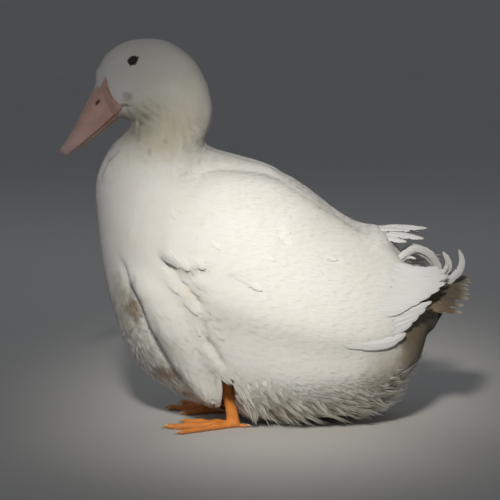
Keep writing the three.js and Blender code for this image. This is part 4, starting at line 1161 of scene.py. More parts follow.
tail_vanes = []
K_T = 18
for k in range(K_T):
    c = (k + .5) / K_T * 2 - 1
    r_ = rng(500 + k)
    s = np.linspace(.04, 1.0, 31)
    reach = 1 + r_.uniform(-.035, .02)
    cc = c * (1 - .02 * s) + .012 * r_.normal() * s
    off = .7 * (1 - abs(c)) * 2.2 + .25 * (k % 2)
    pts = tail_point(s * reach, cc, off - .6)
    e = 1e-2
    ups = unit(np.cross(tail_point(s, cc + e) - tail_point(s, cc - e), tail_point(s + e, cc) - tail_point(s - e, cc)))
    ups = ups * np.sign(ups[:, 2:3])
    tail_vanes.append(vane(pts, ups, 14.5 - 3 * abs(c), 520 + k, thick=.7, tip=.36, point_=.9, camber=.14, nicks=10, fray=.16, root=.12, across=12))
# the fan is dull grey-brown, falling to near black towards the roots: partly a brownish tint, partly painted shade of a
# fan lying in shadow under the wing
TAIL_MAT = plumage_material("plumage_tail", tone=(.47, .435, .37), shade=(.105, .08, .052), ridge=1900.0, dark=(1.03, .84, .95))
vanes_object("tail_feathers", tail_vanes, TAIL_MAT, lambda k: (.5 + .01 * (k - 9), .03))


def tail_surface(off, sign):
    """Steps along the fan and across it, for a grid on its side; the grid itself is not built here."""
    fs, cs = np.linspace(-.25, 1.05, 60), np.linspace(-1, 1, 60)
    return fs, cs


def strip_tufts(point_fn, fs, cs, length, width, seed, lift=.4, depth=1.5, fingers=5, rows=3, ragged=.4, jitter=.1, mat_wide=1.0):
    """Tufts on a patch given by point_fn(f, c): rooted at the fs and cs, they run along f."""
    r = rng(seed)
    n_t = len(fs)
    length = np.broadcast_to(length, (n_t,)) * r.uniform(.8, 1.2, n_t)
    width = np.broadcast_to(width, (n_t,)) * r.uniform(.85, 1.2, n_t)
    F, K = fingers, rows
    e = 1e-3
    pf = (point_fn(fs + e, cs) - point_fn(fs - e, cs)) / (2 * e)
    pc = (point_fn(fs, cs + e) - point_fn(fs, cs - e)) / (2 * e)
    lf, lc = np.linalg.norm(pf, axis=1), np.linalg.norm(pc, axis=1)
    b = (np.arange(F) - (F - 1) / 2) / max(1, (F - 1) / 2)
    b = b[None] + r.uniform(-.5, .5, (n_t, F)) * (1.2 / F)
    own_len = 1 - ragged * np.abs(b) ** 1.6 * r.uniform(.5, 1.1, (n_t, F)) - r.uniform(0, .18, (n_t, F))
    half = (1.15 / F) * r.uniform(.8, 1.25, (n_t, F))
    a = np.linspace(0, 1, K + 1) ** .85
    taper = np.interp(a, [0, .5, .8, 1], [.75, 1, .8, 0])
    own = r.random(n_t)
    drift = r.normal(0, jitter, n_t)
    ho = r.uniform(0, .25, (n_t, F))
    vs, ns, al, us = [], [], [], []
    for k in range(K + 1):
        s = a[k] * own_len
        fan = np.interp(s, [0, .45, .8, 1.0], [.5, 1.0, 1.02, .92])
        for sign in ((-1, 1) if k < K else (0,)):
            lat = b * fan * width[:, None] / 2 + sign * half * taper[k] * width[:, None] / 2 + drift[:, None] * s * length[:, None]
            ff = fs[:, None] + s * (length / lf)[:, None]
            cc = cs[:, None] + lat / lc[:, None]
            shape = ff.shape
            ff_, cc_ = ff.reshape(-1), cc.reshape(-1)
            p = point_fn(ff_, cc_)
            g = unit(np.cross(point_fn(ff_ + e, cc_) - point_fn(ff_ - e, cc_), point_fn(ff_, cc_ + e) - point_fn(ff_, cc_ - e)))
            p, g = p.reshape(*shape, 3), g.reshape(*shape, 3)
            h = -depth * (1 - s) ** 1.3 + (lift + ho) * s ** 1.5
            vs.append((p, g, h)), ns.append(g), al.append(s)
            us.append(np.stack([lat / width[:, None], s - .5], -1) * .003)
    return vs, ns, al, us, dict(n_t=n_t, F=F, K=K, own=own)


def close_strip(parts, out_dir, uv_root):
    """Finishes strip_tufts: out_dir tells which way the patch faces."""
    vs, ns, al, us, d = parts
    n_t, F, K = d["n_t"], d["F"], d["K"]
    V, N = [], []
    for (p, g, h) in vs:
        g = g * np.sign((g * out_dir).sum(-1, keepdims=True) + 1e-9)
        V.append(p + g * h[..., None]), N.append(g)
    V, N, A, U = np.stack(V, 2), np.stack(N, 2), np.stack(al, 2), np.stack(us, 2)
    per = V.shape[2]
    U = U + np.asarray(uv_root)[:, None, None]
    start = (np.arange(n_t * F) * per)[:, None]
    quads = np.concatenate([start + np.array([[2 * k, 2 * k + 1, 2 * k + 3, 2 * k + 2]]) for k in range(K - 1)])
    tris = start + np.array([[2 * K - 2, 2 * K - 1, 2 * K]])
    fv, fn_ = V.reshape(-1, 3), N.reshape(-1, 3)
    for faces in (quads, tris):
        e1, e2 = fv[faces[:, 1]] - fv[faces[:, 0]], fv[faces[:, 2]] - fv[faces[:, 0]]
        wrong = (np.cross(e1, e2) * fn_[faces[:, 0]]).sum(1) < 0
        faces[wrong] = faces[wrong][:, ::-1]
    return dict(v=fv, n=fn_, a=A.reshape(-1), uv=U.reshape(-1, 2), own=np.repeat(d["own"], F * per), quads=quads, tris=tris,
                per_tuft=F * per, tri_count=F * (2 * K - 1), count=n_t)


# upper tail coverts over the fan's root, and under tail coverts below it
r_ = rng(77)
n_c = 1500
fs, cs = r_.uniform(-.3, .42, n_c), r_.uniform(-1.0, 1.0, n_c)
fs = fs - .16 * cs ** 2
up_cov = close_strip(strip_tufts(lambda f, c: tail_point(f, c, 1.2 + 5 * np.clip(.5 - f, 0, 1) * (1 - c * c)), fs, cs, 21, 7.5, 78, lift=.6, depth=2.2), np.array([0, 0, 1.0]),
                     np.stack([.5 + .04 * cs, .04 + .03 * fs], -1))


def under_fan(f, c):
    p = tail_point(f, c * .93, -2.0)
    p[..., 2] -= 26 * (1 - smooth(f, -.3, .85)) * (1 - .35 * c * c)
    return p


n_c = 2600
fs, cs = r_.uniform(-.1, .62, n_c), r_.uniform(-1.0, 1.0, n_c)
lo_cov = close_strip(strip_tufts(under_fan, fs, cs, 24, 7.5, 79, lift=.8, depth=2.5), np.array([0, 0, -1.0]), np.stack([.5 + .04 * cs, .07 + .03 * fs], -1))
# the under tail coverts are a dark tan: partly brown soiling, partly painted shadow under wing and tail
UNDER = plumage_material("plumage_under_tail", tone=(.36, .30, .22), shade=(.20, .15, .10), vary=.3)
pieces_of("tail_coverts_upper", up_cov, COAT)
pieces_of("tail_coverts_under", lo_cov, UNDER)


# ---------------------------------------------------------------- the drake's curls, and wisps of the rump
CURLS = [
    # way [y, z]; sideways place of root and end; width; extra strands
    ([[178, 160], [197, 155.5], [205.5, 163.5], [200.5, 175], [191, 183], [180, 186.2], [169, 182.0], [163.5, 176], [162.5, 169]], 6, 43, 10.5, 3),
    ([[184, 156], [200, 153], [208, 162], [201, 175], [191, 181], [181, 184], [171, 179]], -6, -18, 8, 3),
    ([[160, 168], [167, 175], [175, 179], [183, 177.5]], 30, 33, 4.0, 4),
    ([[191, 151], [203, 151.5], [211.5, 156.5], [217.5, 167], [216, 176], [211, 183]], 16, 19, 8.4, 2),
    ([[197, 149], [211, 150], [221, 156.5], [229, 166], [230.5, 177], [226.8, 187.2]], 26, 30, 8.4, 2),
]
curl_vanes = []
for k, (way, x0, x1, width, extra) in enumerate(CURLS):
    line = spline_path(way, 44)
    f = np.linspace(0, 1, 45)
    pts = np.stack([x0 + (x1 - x0) * f ** 1.6, line[:, 0], line[:, 1]], -1)
    ups = np.tile(np.array([[1.0 if x0 > 0 else -1.0, .0, .05]]), (45, 1))
    curl_vanes.append(vane(pts, ups, width, 600 + k, thick=.9, camber=.18, tip=.42, point_=.95, root=.16, across=12, nicks=4, fray=.05))
    for q in range(extra):
        r_ = rng(640 + 10 * k + q)
        c = pts[10:44].mean(0)
        shrink = 1 - r_.uniform(.10, .38)
        p2 = c + (pts - c) * [1, shrink, shrink] + [r_.uniform(-3, 3), 0, 0]
        p2[:8] = pts[:8] + (p2[:8] - pts[:8]) * (np.arange(8) / 8)[:, None]
        n0 = int(r_.uniform(30, 43))
        p2 = p2[:n0]
        curl_vanes.append(vane(p2, ups[:n0], r_.uniform(1.1, 2.2), 700 + 10 * k + q, thick=.5, camber=.1, tip=.6, point_=.9, across=4, nicks=0))
vanes_object("curled_feathers", curl_vanes, VANE, lambda k: (.5, .06))

WISPS = [
    # from, by, to [x, y, z], width
    ([1, 120, 203.0], [6, 156, 207.4], [12, 195, 207.0], 17),
    ([8, 124, 202], [13, 150, 205.6], [17, 178, 205.0], 14),
    ([-7, 122, 203], [-8, 150, 205.8], [-4, 182, 204.8], 14),
    ([14, 130, 199.5], [20, 160, 201.5], [23, 188, 197.4], 15),
    ([18, 134, 198], [26, 154, 198.2], [29, 174, 194.8], 13),
    ([-12, 134, 202.5], [-18, 158, 203.3], [-22, 186, 196.8], 13),
    ([-16, 134, 201], [-24, 155, 200.5], [-27, 175, 194.8], 11),
]
wisp_vanes = []
for k, (p, q, e, width) in enumerate(WISPS):
    for twin in range(2):
        r_ = rng(800 + 5 * k + twin)
        j_ = r_.normal(0, 1.0, 3) * [1.6, 2, .5]
        pts = spline_path([np.array(p) - [0, 0, 2.2], np.array(q) + j_ * .5, np.array(e) + j_ * [1, 1, .8] - [0, (3 + 6 * r_.random()) * twin, 0]], 22)
        up = np.tile(unit(np.array([[(.5 if p[0] > 0 else -.5) + p[0] * .012, .12, 1.0]])), (23, 1))
        wisp_vanes.append(vane(pts, up, width * (.85, .5)[twin], 900 + 5 * k + twin, thick=.5, camber=.2, tip=.62, point_=.75, root=.75, across=8, nicks=5, fray=.08))
vanes_object("rump_wisps", wisp_vanes, VANE, lambda k: (.5, .09))


# ---------------------------------------------------------------- long feathers of the thigh, running down to their point
cpt, cnm = coat.p.reshape(-1, 3), coat.n.reshape(-1, 3)
pick = (cpt[:, 0] > 14) & (cpt[:, 1] < 125) & (cpt[:, 2] < 266)
cpt, cnm = cpt[pick], cnm[pick]
coat_tree = KDTree(len(cpt))
for k, q in enumerate(cpt):
    coat_tree.insert((q[1], q[2], 0), k)
coat_tree.balance()


def coat_vane(way, width, off0, off1, seed, n=28, **kw):
    line = spline_path(way, n)
    pts, ups = [], []
    for k, (y, z) in enumerate(line):
        got = coat_tree.find_n((y, z, 0), 8)
        w_ = np.array([1 / (g[2] ** 2 + 1.0) for g in got])
        w_ /= w_.sum()
        idx = [g[1] for g in got]
        nn = unit((w_[:, None] * cnm[idx]).sum(0))
        pts.append(np.array([(w_ * cpt[idx, 0]).sum(), y, z]) + nn * (off0 + (off1 - off0) * (k / n) ** .8)), ups.append(nn)
    pts, ups = np.array(pts), np.array(ups)
    for _ in range(6):
        pts[1:-1] = (pts[:-2] + 2 * pts[1:-1] + pts[2:]) / 4
        ups[1:-1] = unit((ups[:-2] + 2 * ups[1:-1] + ups[2:]) / 4)
    return vane(pts, ups, width, seed, **kw)


THIGH_FEATHERS = [
    ([(-94, 138), (-83, 112), (-73, 90), (-64, 70)], 12, .5), ([(-86, 132), (-74, 104), (-62, 78), (-52, 55)], 12, .6), ([(-72, 130), (-62, 98), (-51, 68), (-42, 44)], 12, .7),
    ([(-60, 124), (-51, 90), (-41, 58), (-33, 33)], 12, .8), ([(-50, 118), (-42, 84), (-34, 52), (-28, 26)], 11.5, .9),
    ([(-40, 112), (-33, 78), (-27, 47), (-24, 21.5)], 11, 1.0), ([(-31, 104), (-26, 72), (-21.5, 45), (-22, 22.5)], 10, .8),
]
thigh_vanes = [coat_vane(way, width, -3.0, off, 1000 + k, thick=.45, tip=.62, point_=.8, camber=.22, root=.35, nicks=3, fray=.03, ridge=.18) for k, (way, width, off) in enumerate(THIGH_FEATHERS)]
for tag, m_ in (("L", False), ("R", True)):
    vanes_object("thigh_feathers_" + tag, thigh_vanes, COAT, lambda k, m_=m_: (.5 + (-1 if m_ else 1) * (.2 + .006 * k), .55), mirror_x=m_)


# ---------------------------------------------------------------- feather ends that edge the fold under the wing's front
FLAP_FEATHERS = [
    ([(-104, 208), (-88, 201), (-73, 190), (-60, 179)], 15, .3), ([(-92, 211), (-76, 202), (-62, 189), (-50, 176.5)], 16, .5),
    ([(-76, 212), (-60, 202), (-47, 190), (-34, 179)], 16, .45),
    ([(-104, 197), (-88, 181), (-74, 165.5), (-62, 152)], 11, .7), ([(-87, 178), (-72, 162), (-57, 146), (-42, 130)], 11, .7),
    ([(-28, 183), (-12, 177), (5, 169), (23, 158)], 11, .75), ([(58, 199), (72, 195), (86, 190), (99, 184)], 10, .8),
    ([(-86, 254), (-78, 247), (-71, 239), (-65, 226)], 8, .55), ([(-60, 152), (-52, 138), (-46, 125), (-40, 107)], 8, .7),
    ([(-12, 206), (4, 201), (20, 195), (36, 187)], 9, .35), ([(2, 232), (18, 228), (36, 222), (52, 213)], 10, .35), ([(-50, 228), (-40, 220), (-30, 210), (-20, 198)], 9, .4),
]
flap_vanes = [coat_vane(way, width, -3.0, off, 1100 + k, thick=.4, tip=.5, point_=.5, camber=.2, root=.35, nicks=4, fray=.06, ridge=.10) for k, (way, width, off) in enumerate(FLAP_FEATHERS)]
vanes_object("fold_feathers_L", flap_vanes, COAT, lambda k: (.25, .45 + .01 * k), mirror_x=False)
vanes_object("fold_feathers_R", flap_vanes, COAT, lambda k: (.75, .45 + .01 * k), mirror_x=True)


# ---------------------------------------------------------------- bill
MOUTH = (MOUTH_TIP - GAPE) / np.linalg.norm(MOUTH_TIP - GAPE)
MOUTH_UP = np.array([MOUTH[1], -MOUTH[0]])  # upwards off the mouth line
if MOUTH_UP[1] < 0:
    MOUTH_UP = -MOUTH_UP


def bill_row(t):
    """Station values at t, with the rounded end beyond the last station told by shift and shrink."""
    last = len(BILL) - 1
    if t <= last:
        return table_at(BILL, t)[0], 0.0, 1.0
    f = min(1.0, t - last)
    return BILL[-1], math.sin(f * math.pi / 2) * 8.0, max(.02, math.cos(f * math.pi / 2)) ** .85


def mouth_q(row, shift, shrink, lift=0.0):
    """Share of the way from the culmen to the under edge at which the mouth line crosses the ring."""
    d, v = row[0:2], row[2:4]
    u = (v - d) / np.linalg.norm(v - d)
    mid = (d + v) / 2 + shift * np.array([u[1], -u[0]])
    half = np.linalg.norm(v - d) / 2 * shrink
    # the mouth line sags a little halfway along
    s = np.clip((mid - GAPE) @ MOUTH / np.linalg.norm(MOUTH_TIP - GAPE), 0, 1)
    sag = -1.2 * math.sin(math.pi * s) + lift
    r = (sag - (mid - GAPE) @ MOUTH_UP) / (u @ MOUTH_UP)
    return (r + half) / (2 * half)


skin_tree = BVHTree.FromPolygons([tuple(q) for q in sv], [tuple(q) for q in quads])


def head_x(y, z):
    """Half width of the skin at a place of the side view; 0 beyond its outline."""
    hit = skin_tree.ray_cast(Vector((80, y, z)), Vector((-1, 0, 0)), 80)
    return 80 - hit[3] if hit[0] is not None else 0.0


def bill_piece(upper):
    A, B, n = 72, 22, 96
    rings, along = [], []
    t_end = len(BILL) - 1 + (1.0 if upper else .45)
    for k in range(n + 1):
        t = t_end * (k / n) ** .92
        row, shift, shrink = bill_row(t)
        q_m = float(np.clip(mouth_q(row, shift, shrink), .35, .965))
        dy, dz = row[2] - row[0], row[3] - row[1]
        ln = math.hypot(dy, dz)
        uy, uz = dy / ln, dz / ln
        half, w = ln / 2 * shrink, row[4] * shrink
        phi = np.linspace(-math.pi, math.pi, A)
        s = (1 - np.cos(phi)) / 2
        if upper:
            q = q_m * s
        else:
            q = 1 - (1 - q_m - .012) * s
        x = w * fullness(q, row[5], row[6]) * np.sign(phi)
        x[np.abs(phi) < 1e-9] = 0
        r = -half + 2 * half * q
        if upper:
            # the side hangs a little over the lower half, and the culmen is rounded
            lip = np.exp(-((q_m - q) / .10) ** 2)
            x = x + np.sign(phi) * .55 * lip * shrink
            r = r + .9 * lip * shrink
        else:
            end = smooth(np.array(t), t_end - .9, t_end)
            x = x * (.86 - .55 * end)
            r = r - .35 - 3.0 * end * (q - q_m) / max(1e-3, 1 - q_m)
        # roof of the mouth or floor of the lower half, hollowed
        g = np.linspace(1, -1, B + 2)[1:-1]
        xe, re = x[-1], r[-1]
        hollow = (1 - g ** 2) * (1.6 if upper else .9) * shrink
        xr = xe * .9 * g
        rr = re - (hollow if upper else -hollow) + (-.3 if upper else .3)
        xs, rs = np.concatenate([x, xr]), np.concatenate([r, rr])
        ys = (row[0] + row[2]) / 2 + uy * rs + uz * shift
        zs = (row[1] + row[3]) / 2 + uz * rs - uy * shift
        rings.append(np.stack([xs, ys, zs], -1))
        along.append(np.full(len(xs), t))
    P = np.array(rings)
    along = np.array(along)
    # the root widens into the naked horn of the face, so that head and bill run into each other
    reach = np.nonzero(along[:, 0] < 2.6)[0]
    for i in reach:
        for j in range(A):
            x, y, z = P[i, j]
            if abs(x) < .3 and z > 362:
                continue
            one = np.array([[0, y, z]])
            d = edge_distance(LORE, one[:, 1], one[:, 2])[0] * (1 if inside(LORE, one[:, 1], one[:, 2])[0] else -1)
            m = smooth(np.array(d), -1.2, .9)
            if m <= 0:
                continue
            hx = head_x(y, z)
            if hx <= 0:
                continue
            k = 1.1
            want = abs(x) + k * math.log1p(math.exp(min(30, (hx + .55 - abs(x)) / k)))
            P[i, j, 0] = math.copysign(abs(x) + (want - abs(x)) * m, x if x else (j - A / 2))
    return P, along, A + B


NOSTRIL = np.array([-147.4, 338.2])
NOSTRIL_WAY = math.radians(50)


def nostril_place(y, z):
    u = (y - NOSTRIL[0]) * math.cos(NOSTRIL_WAY) + (z - NOSTRIL[1]) * math.sin(NOSTRIL_WAY)
    v = -(y - NOSTRIL[0]) * math.sin(NOSTRIL_WAY) + (z - NOSTRIL[1]) * math.cos(NOSTRIL_WAY)
    return u / 4.6, v / 1.55


def bill_material():
    m, nodes, links = material("bill_horn")
    where = add(nodes, "ShaderNodeTexCoord").outputs["Object"]
    hole_and_crease_shade = add(nodes, "ShaderNodeAttribute", attribute_name="dark").outputs["Fac"]
    nail = add(nodes, "ShaderNodeAttribute", attribute_name="nail").outputs["Fac"]
    crest = add(nodes, "ShaderNodeAttribute", attribute_name="crest").outputs["Fac"]
    base_c = mixer(nodes, links, remap(nodes, links, noise(nodes, links, where, 70, 4, .6), .3, .75), (.60, .385, .325), (.52, .31, .26))
    base_c = mixer(nodes, links, remap(nodes, links, noise(nodes, links, where, 260, 3, .6), .55, .8, 0, .35), base_c, (.42, .25, .21))
    base_c = mixer(nodes, links, remap(nodes, links, crest, 0, 1, 0, .5), base_c, (.56, .45, .36))
    sep = add(nodes, "ShaderNodeSeparateXYZ")
    links.new(where, sep.inputs[0])
    base_c = mixer(nodes, links, remap(nodes, links, sep.outputs[2], .318, .288, 0, .65), base_c, (.62, .45, .43))
    base_c = mixer(nodes, links, nail, base_c, (.68, .585, .52))
    # painted shade: the nostril holes and the crease behind the horn are painted near black
    base_c = mixer(nodes, links, hole_and_crease_shade, base_c, (.035, .018, .016))
    bsdf = add(nodes, "ShaderNodeBsdfPrincipled")
    links.new(base_c, bsdf.inputs["Base Color"])
    bsdf.inputs["Roughness"].default_value = .46
    bsdf.inputs["Specular IOR Level"].default_value = .38
    bsdf.inputs["Subsurface Weight"].default_value = .12
    bsdf.inputs["Subsurface Radius"].default_value = (.004, .0016, .001)
    height = maths(nodes, links, "ADD", maths(nodes, links, "MULTIPLY", noise(nodes, links, where, 520, 4, .6), .5), noise(nodes, links, where, 130, 2))
    bump = add(nodes, "ShaderNodeBump")
    bump.inputs["Strength"].default_value = .35
    bump.inputs["Distance"].default_value = .0005
    links.new(height, bump.inputs["Height"])
    links.new(bump.outputs[0], bsdf.inputs["Normal"])
    out = add(nodes, "ShaderNodeOutputMaterial")
    links.new(bsdf.outputs[0], out.inputs[0])
    return m


BILL_MAT = bill_material()


def make_bill(upper):
    P, along, per = bill_piece(upper)
    n_r = len(P)
    surf = Surface(P)
    y, z = P[..., 1], P[..., 2]
    dark, nail, crest = np.zeros(P.shape[:2]), np.zeros(P.shape[:2]), np.zeros(P.shape[:2])
    if upper:
        outer = np.zeros(P.shape[:2], bool)
        outer[:, :72] = True
        u, v = nostril_place(y, z)
        d = np.hypot(u, v)
        side = outer & (np.abs(P[..., 0]) > 3)
        hole = np.where(side, 1 - smooth(d, .45, 1.05), 0)
        rim = np.where(side, np.exp(-((d - 1.45) / .38) ** 2), 0)
        # painted shade: the nostril openings are painted near black
        dark = np.where(side, 1 - smooth(d, .55, 1.0), 0)
        # a shallow trough runs forward from each nostril, and a soft groove sets off the nail
        u2, v2 = nostril_place(y - 0, z)
        trough = np.where(side, np.exp(-(v2 / 2.6) ** 2) * np.exp(-((u2 + 1.2) / 2.4) ** 2), 0)
        tip = P[-1].mean(0)
        far = np.linalg.norm(P - tip, axis=-1)
        plate = outer & (np.abs(P[..., 0]) < 6.2)
        nail = np.where(plate, (1 - smooth(far, 9.5, 12)) * (1 - smooth(np.abs(P[..., 0]), 4.6, 6.2)), 0)
        groove = np.where(outer, np.exp(-((far - 12.0) / 1.4) ** 2) * (np.abs(P[..., 0]) < 6.5), 0)
        crest = np.where(outer, (1 - smooth(np.abs(P[..., 0]), 2, 6.5)) * smooth(z, 296, 330), 0)
        shift = -2.3 * hole + .38 * rim - .35 * trough + .45 * nail - .25 * groove
        # fine lamellae show as ribs along the edge
        edge = np.zeros(P.shape[:2])
        edge[:, 66:72] = np.linspace(0, 1, 6)
        edge[:, 0:6] = np.linspace(1, 0, 6)
        shift = shift + .10 * edge * np.sin(along * 34)
        # a crease follows the feathers' edge behind the horn, darkened as painted shade
        back_edge = LORE[:6]
        dist = np.array([min(np.linalg.norm(np.array([q[1], q[2]]) - (a_ + (b_ - a_) * t_)) for a_, b_ in zip(back_edge[:-1], back_edge[1:]) for t_ in np.linspace(0, 1, 9))
                         for q in P.reshape(-1, 3)]).reshape(P.shape[:2])
        crease = np.where(outer & (z < 362), np.exp(-(np.maximum(dist - .9, 0) / .8) ** 2), 0)
        dark = np.maximum(dark, .72 * crease)
        P = P + surf.n * shift[..., None]
    verts = np.concatenate([P.reshape(-1, 3), [P[0].mean(0)], [P[-1].mean(0) + (P[-1].mean(0) - P[-3].mean(0)) * .3]])
    quads = grid_faces(n_r, per)
    ends = np.array([[n_r * per, (j + 1) % per, j] for j in range(per)] + [[n_r * per + 1, (n_r - 1) * per + j, (n_r - 1) * per + (j + 1) % per] for j in range(per)])
    e1, e2 = P[40, 11] - P[40, 10], P[41, 10] - P[40, 10]
    if np.dot(np.cross(e1, e2), surf.n[40, 10]) < 0:
        quads, ends = quads[:, ::-1], ends[:, ::-1]
    pad = lambda a: np.concatenate([a.reshape(-1), [0, a[-1].mean()]])
    jj, ii = np.meshgrid(np.arange(per) / per, np.arange(n_r) / n_r)
    uv = np.concatenate([np.stack([jj, ii], -1).reshape(-1, 2), [[.5, 0], [.5, 1]]])
    name = "bill_upper_horn" if upper else "bill_lower_horn"
    return ride(mesh_object(name, verts, [quads, ends], BILL_MAT, uv=uv, attrs={"dark": pad(dark), "nail": pad(nail), "crest": pad(crest)}),
                "bill", "bill_upper" if upper else "bill_lower")


make_bill(True)
make_bill(False)


# ---------------------------------------------------------------- the wedge of small feathers that runs down on to the culmen
def make_wedge():
    P, _, per = bill_piece(True)
    v = np.concatenate([P.reshape(-1, 3), sv])
    f = [tuple(q) for q in grid_faces(len(P), per)] + [tuple(q + P.shape[0] * per) for q in quads]
    tree = BVHTree.FromPolygons([tuple(q) for q in v], f)
    lo, hi = np.array([0, -147.2, 344.5]), np.array([0, -135.5, 377])
    axis = unit(hi - lo)
    out_ = np.array([0, -axis[2], axis[1]])
    nf, nc = 40, 41
    r = np.zeros((nf, nc))
    for i, f_ in enumerate(np.linspace(0, 1, nf)):
        for j, a in enumerate(np.linspace(-1.45, 1.45, nc)):
            d = out_ * math.cos(a) + np.array([math.sin(a), 0, 0])
            o = lo + (hi - lo) * f_
            hit = tree.ray_cast(Vector(o + d * 40), Vector(-d), 40)
            r[i, j] = 40 - hit[3] if hit[0] is not None else 8
    def ease(g, ax, times):
        for _ in range(times):
            g = np.apply_along_axis(lambda q: np.convolve(np.pad(q, 2, "edge"), [.1, .25, .3, .25, .1], "valid"), ax, g)
        return g

    r = ease(ease(r, 0, 1), 1, 1)
    r = np.maximum(r, ease(r, 0, 14) + .1)  # the notch between brow and culmen is filled with feathers
    r = ease(r, 0, 2)

    def point(f_, c):
        f_, c = np.asarray(f_, float), np.asarray(c, float)
        x, y = np.clip(f_, 0, 1) * (nf - 1), (np.clip(c, -1, 1) + 1) / 2 * (nc - 1)
        i, j = np.minimum(x.astype(int), nf - 2), np.minimum(y.astype(int), nc - 2)
        a, b = x - i, y - j
        rr = r[i, j] * (1 - a) * (1 - b) + r[i + 1, j] * a * (1 - b) + r[i, j + 1] * (1 - a) * b + r[i + 1, j + 1] * a * b
        ang = 1.45 * c
        d = out_ * np.cos(ang)[..., None] + np.array([1.0, 0, 0]) * np.sin(ang)[..., None]
        return lo + (hi - lo) * f_[..., None] + d * rr[..., None]

    rr_ = rng(91)
    n = 5200
    f_, c = rr_.uniform(.02, .97, n) ** .8, rr_.uniform(-1, 1, n)
    p = point(f_, c)
    d = edge_distance(LORE, p[:, 1], p[:, 2]) * np.where(inside(LORE, p[:, 1], p[:, 2]), 1, -1)
    low_end = 347.5 + 2.2 * rr_.random(n) + .10 * p[:, 0] ** 2
    ok = (d < .3 + .5 * rr_.random(n)) & (p[:, 2] > low_end) & (np.abs(c) < .95)
    f_, c = f_[ok], c[ok]
    t = close_strip(strip_tufts(point, f_, c, 3.9, 1.9, 92, lift=.22, depth=.5, fingers=4, rows=3, ragged=.35), np.array([0, -1.0, .35]),
                    np.stack([.5 + .012 * c, .93 + .03 * f_], -1))
    pieces_of("coat_culmen", t, HEAD_COAT)


make_wedge()


# ---------------------------------------------------------------- eyes and lids
def eye_material():
    m, nodes, links = material("eye_wet")
    iris = add(nodes, "ShaderNodeAttribute", attribute_name="iris").outputs["Fac"]
    where = add(nodes, "ShaderNodeTexCoord").outputs["Object"]
    ring_c = mixer(nodes, links, noise(nodes, links, where, 1500, 3), (.010, .006, .005), (.016, .009, .006))
    colour = mixer(nodes, links, remap(nodes, links, iris, .40, .55), (.004, .004, .005), ring_c)
    colour = mixer(nodes, links, remap(nodes, links, iris, .97, 1.05), colour, (.02, .014, .012))
    bsdf = add(nodes, "ShaderNodeBsdfPrincipled")
    links.new(colour, bsdf.inputs["Base Color"])
    bsdf.inputs["Roughness"].default_value = .07
    bsdf.inputs["Specular IOR Level"].default_value = .5
    bsdf.inputs["Coat Weight"].default_value = .6
    bsdf.inputs["Coat Roughness"].default_value = .03
    out = add(nodes, "ShaderNodeOutputMaterial")
    links.new(bsdf.outputs[0], out.inputs[0])
    return m


def lid_material():
    m, nodes, links = material("lid_skin")
    where = add(nodes, "ShaderNodeTexCoord").outputs["Object"]
    rim = add(nodes, "ShaderNodeAttribute", attribute_name="rim").outputs["Fac"]
    colour = mixer(nodes, links, noise(nodes, links, where, 700, 4), (.62, .58, .50), (.50, .46, .39))
    colour = mixer(nodes, links, rim, colour, (.055, .042, .036))
    bsdf = add(nodes, "ShaderNodeBsdfPrincipled")
    links.new(colour, bsdf.inputs["Base Color"])
    bsdf.inputs["Roughness"].default_value = .5
    bump = add(nodes, "ShaderNodeBump")
    bump.inputs["Strength"].default_value = .5
    bump.inputs["Distance"].default_value = .0003
    links.new(noise(nodes, links, where, 1600, 3), bump.inputs["Height"])
    links.new(bump.outputs[0], bsdf.inputs["Normal"])
    out = add(nodes, "ShaderNodeOutputMaterial")
    links.new(bsdf.outputs[0], out.inputs[0])
    return m


EYE_MAT, LID_MAT = eye_material(), lid_material()
eye_lo, eye_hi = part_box("eye_L")
EYE_MID = np.array([(a + b) * 500 for a, b in zip(eye_lo, eye_hi)]) + [0, MIDDLE_Y, 0]
EYE_R = 7.6


def eyeball(side):
    """The ball, with the low dome of the cornea in front."""
    nr, na = 40, 64
    out_ = unit(np.array([EYE[0], EYE[1], EYE[2]]) - EYE_MID + np.array([3.0, 0, 0]))
    e1 = unit(np.cross(out_, [0, 0, 1.0]))
    e2 = np.cross(out_, e1)
    verts, iris = [], []
    for k in range(nr + 1):
        pol = math.pi * (k / nr) ** 1.15
        r = EYE_R * math.sin(pol)
        h = EYE_R * math.cos(pol) + .55 * math.exp(-(math.degrees(pol) / 24) ** 2)
        for q in range(na):
            az = 2 * math.pi * q / na
            verts.append(EYE_MID + out_ * h + e1 * r * math.cos(az) + e2 * r * math.sin(az))
            iris.append(math.degrees(pol) / 40)
    v = np.array(verts)
    faces = grid_faces(nr + 1, na)
    c = np.cross(v[faces[300, 1]] - v[faces[300, 0]], v[faces[300, 3]] - v[faces[300, 0]]) @ (v[faces[300, 0]] - EYE_MID)
    if side < 0:
        v = v * [-1, 1, 1]
        c = -c
    if c < 0:
        faces = faces[:, ::-1]
    o = mesh_object("eye_ball_L" if side > 0 else "eye_ball_R", v, faces, EYE_MAT, attrs={"iris": np.array(iris)})
    return ride(o, "eye", "eye_L" if side > 0 else "eye_R")


def surface_x(y, z, lift=0.0):
    """Half width of the coat's form at a point of the side view, by search over its grid."""
    g = coat.p.reshape(-1, 3)
    near = (np.abs(g[:, 1] - y) < 3.5) & (np.abs(g[:, 2] - z) < 3.5) & (g[:, 0] > 0)
    w = 1 / ((g[near, 1] - y) ** 2 + (g[near, 2] - z) ** 2 + .05) ** 2
    return (w * g[near, 0]).sum() / w.sum() + lift


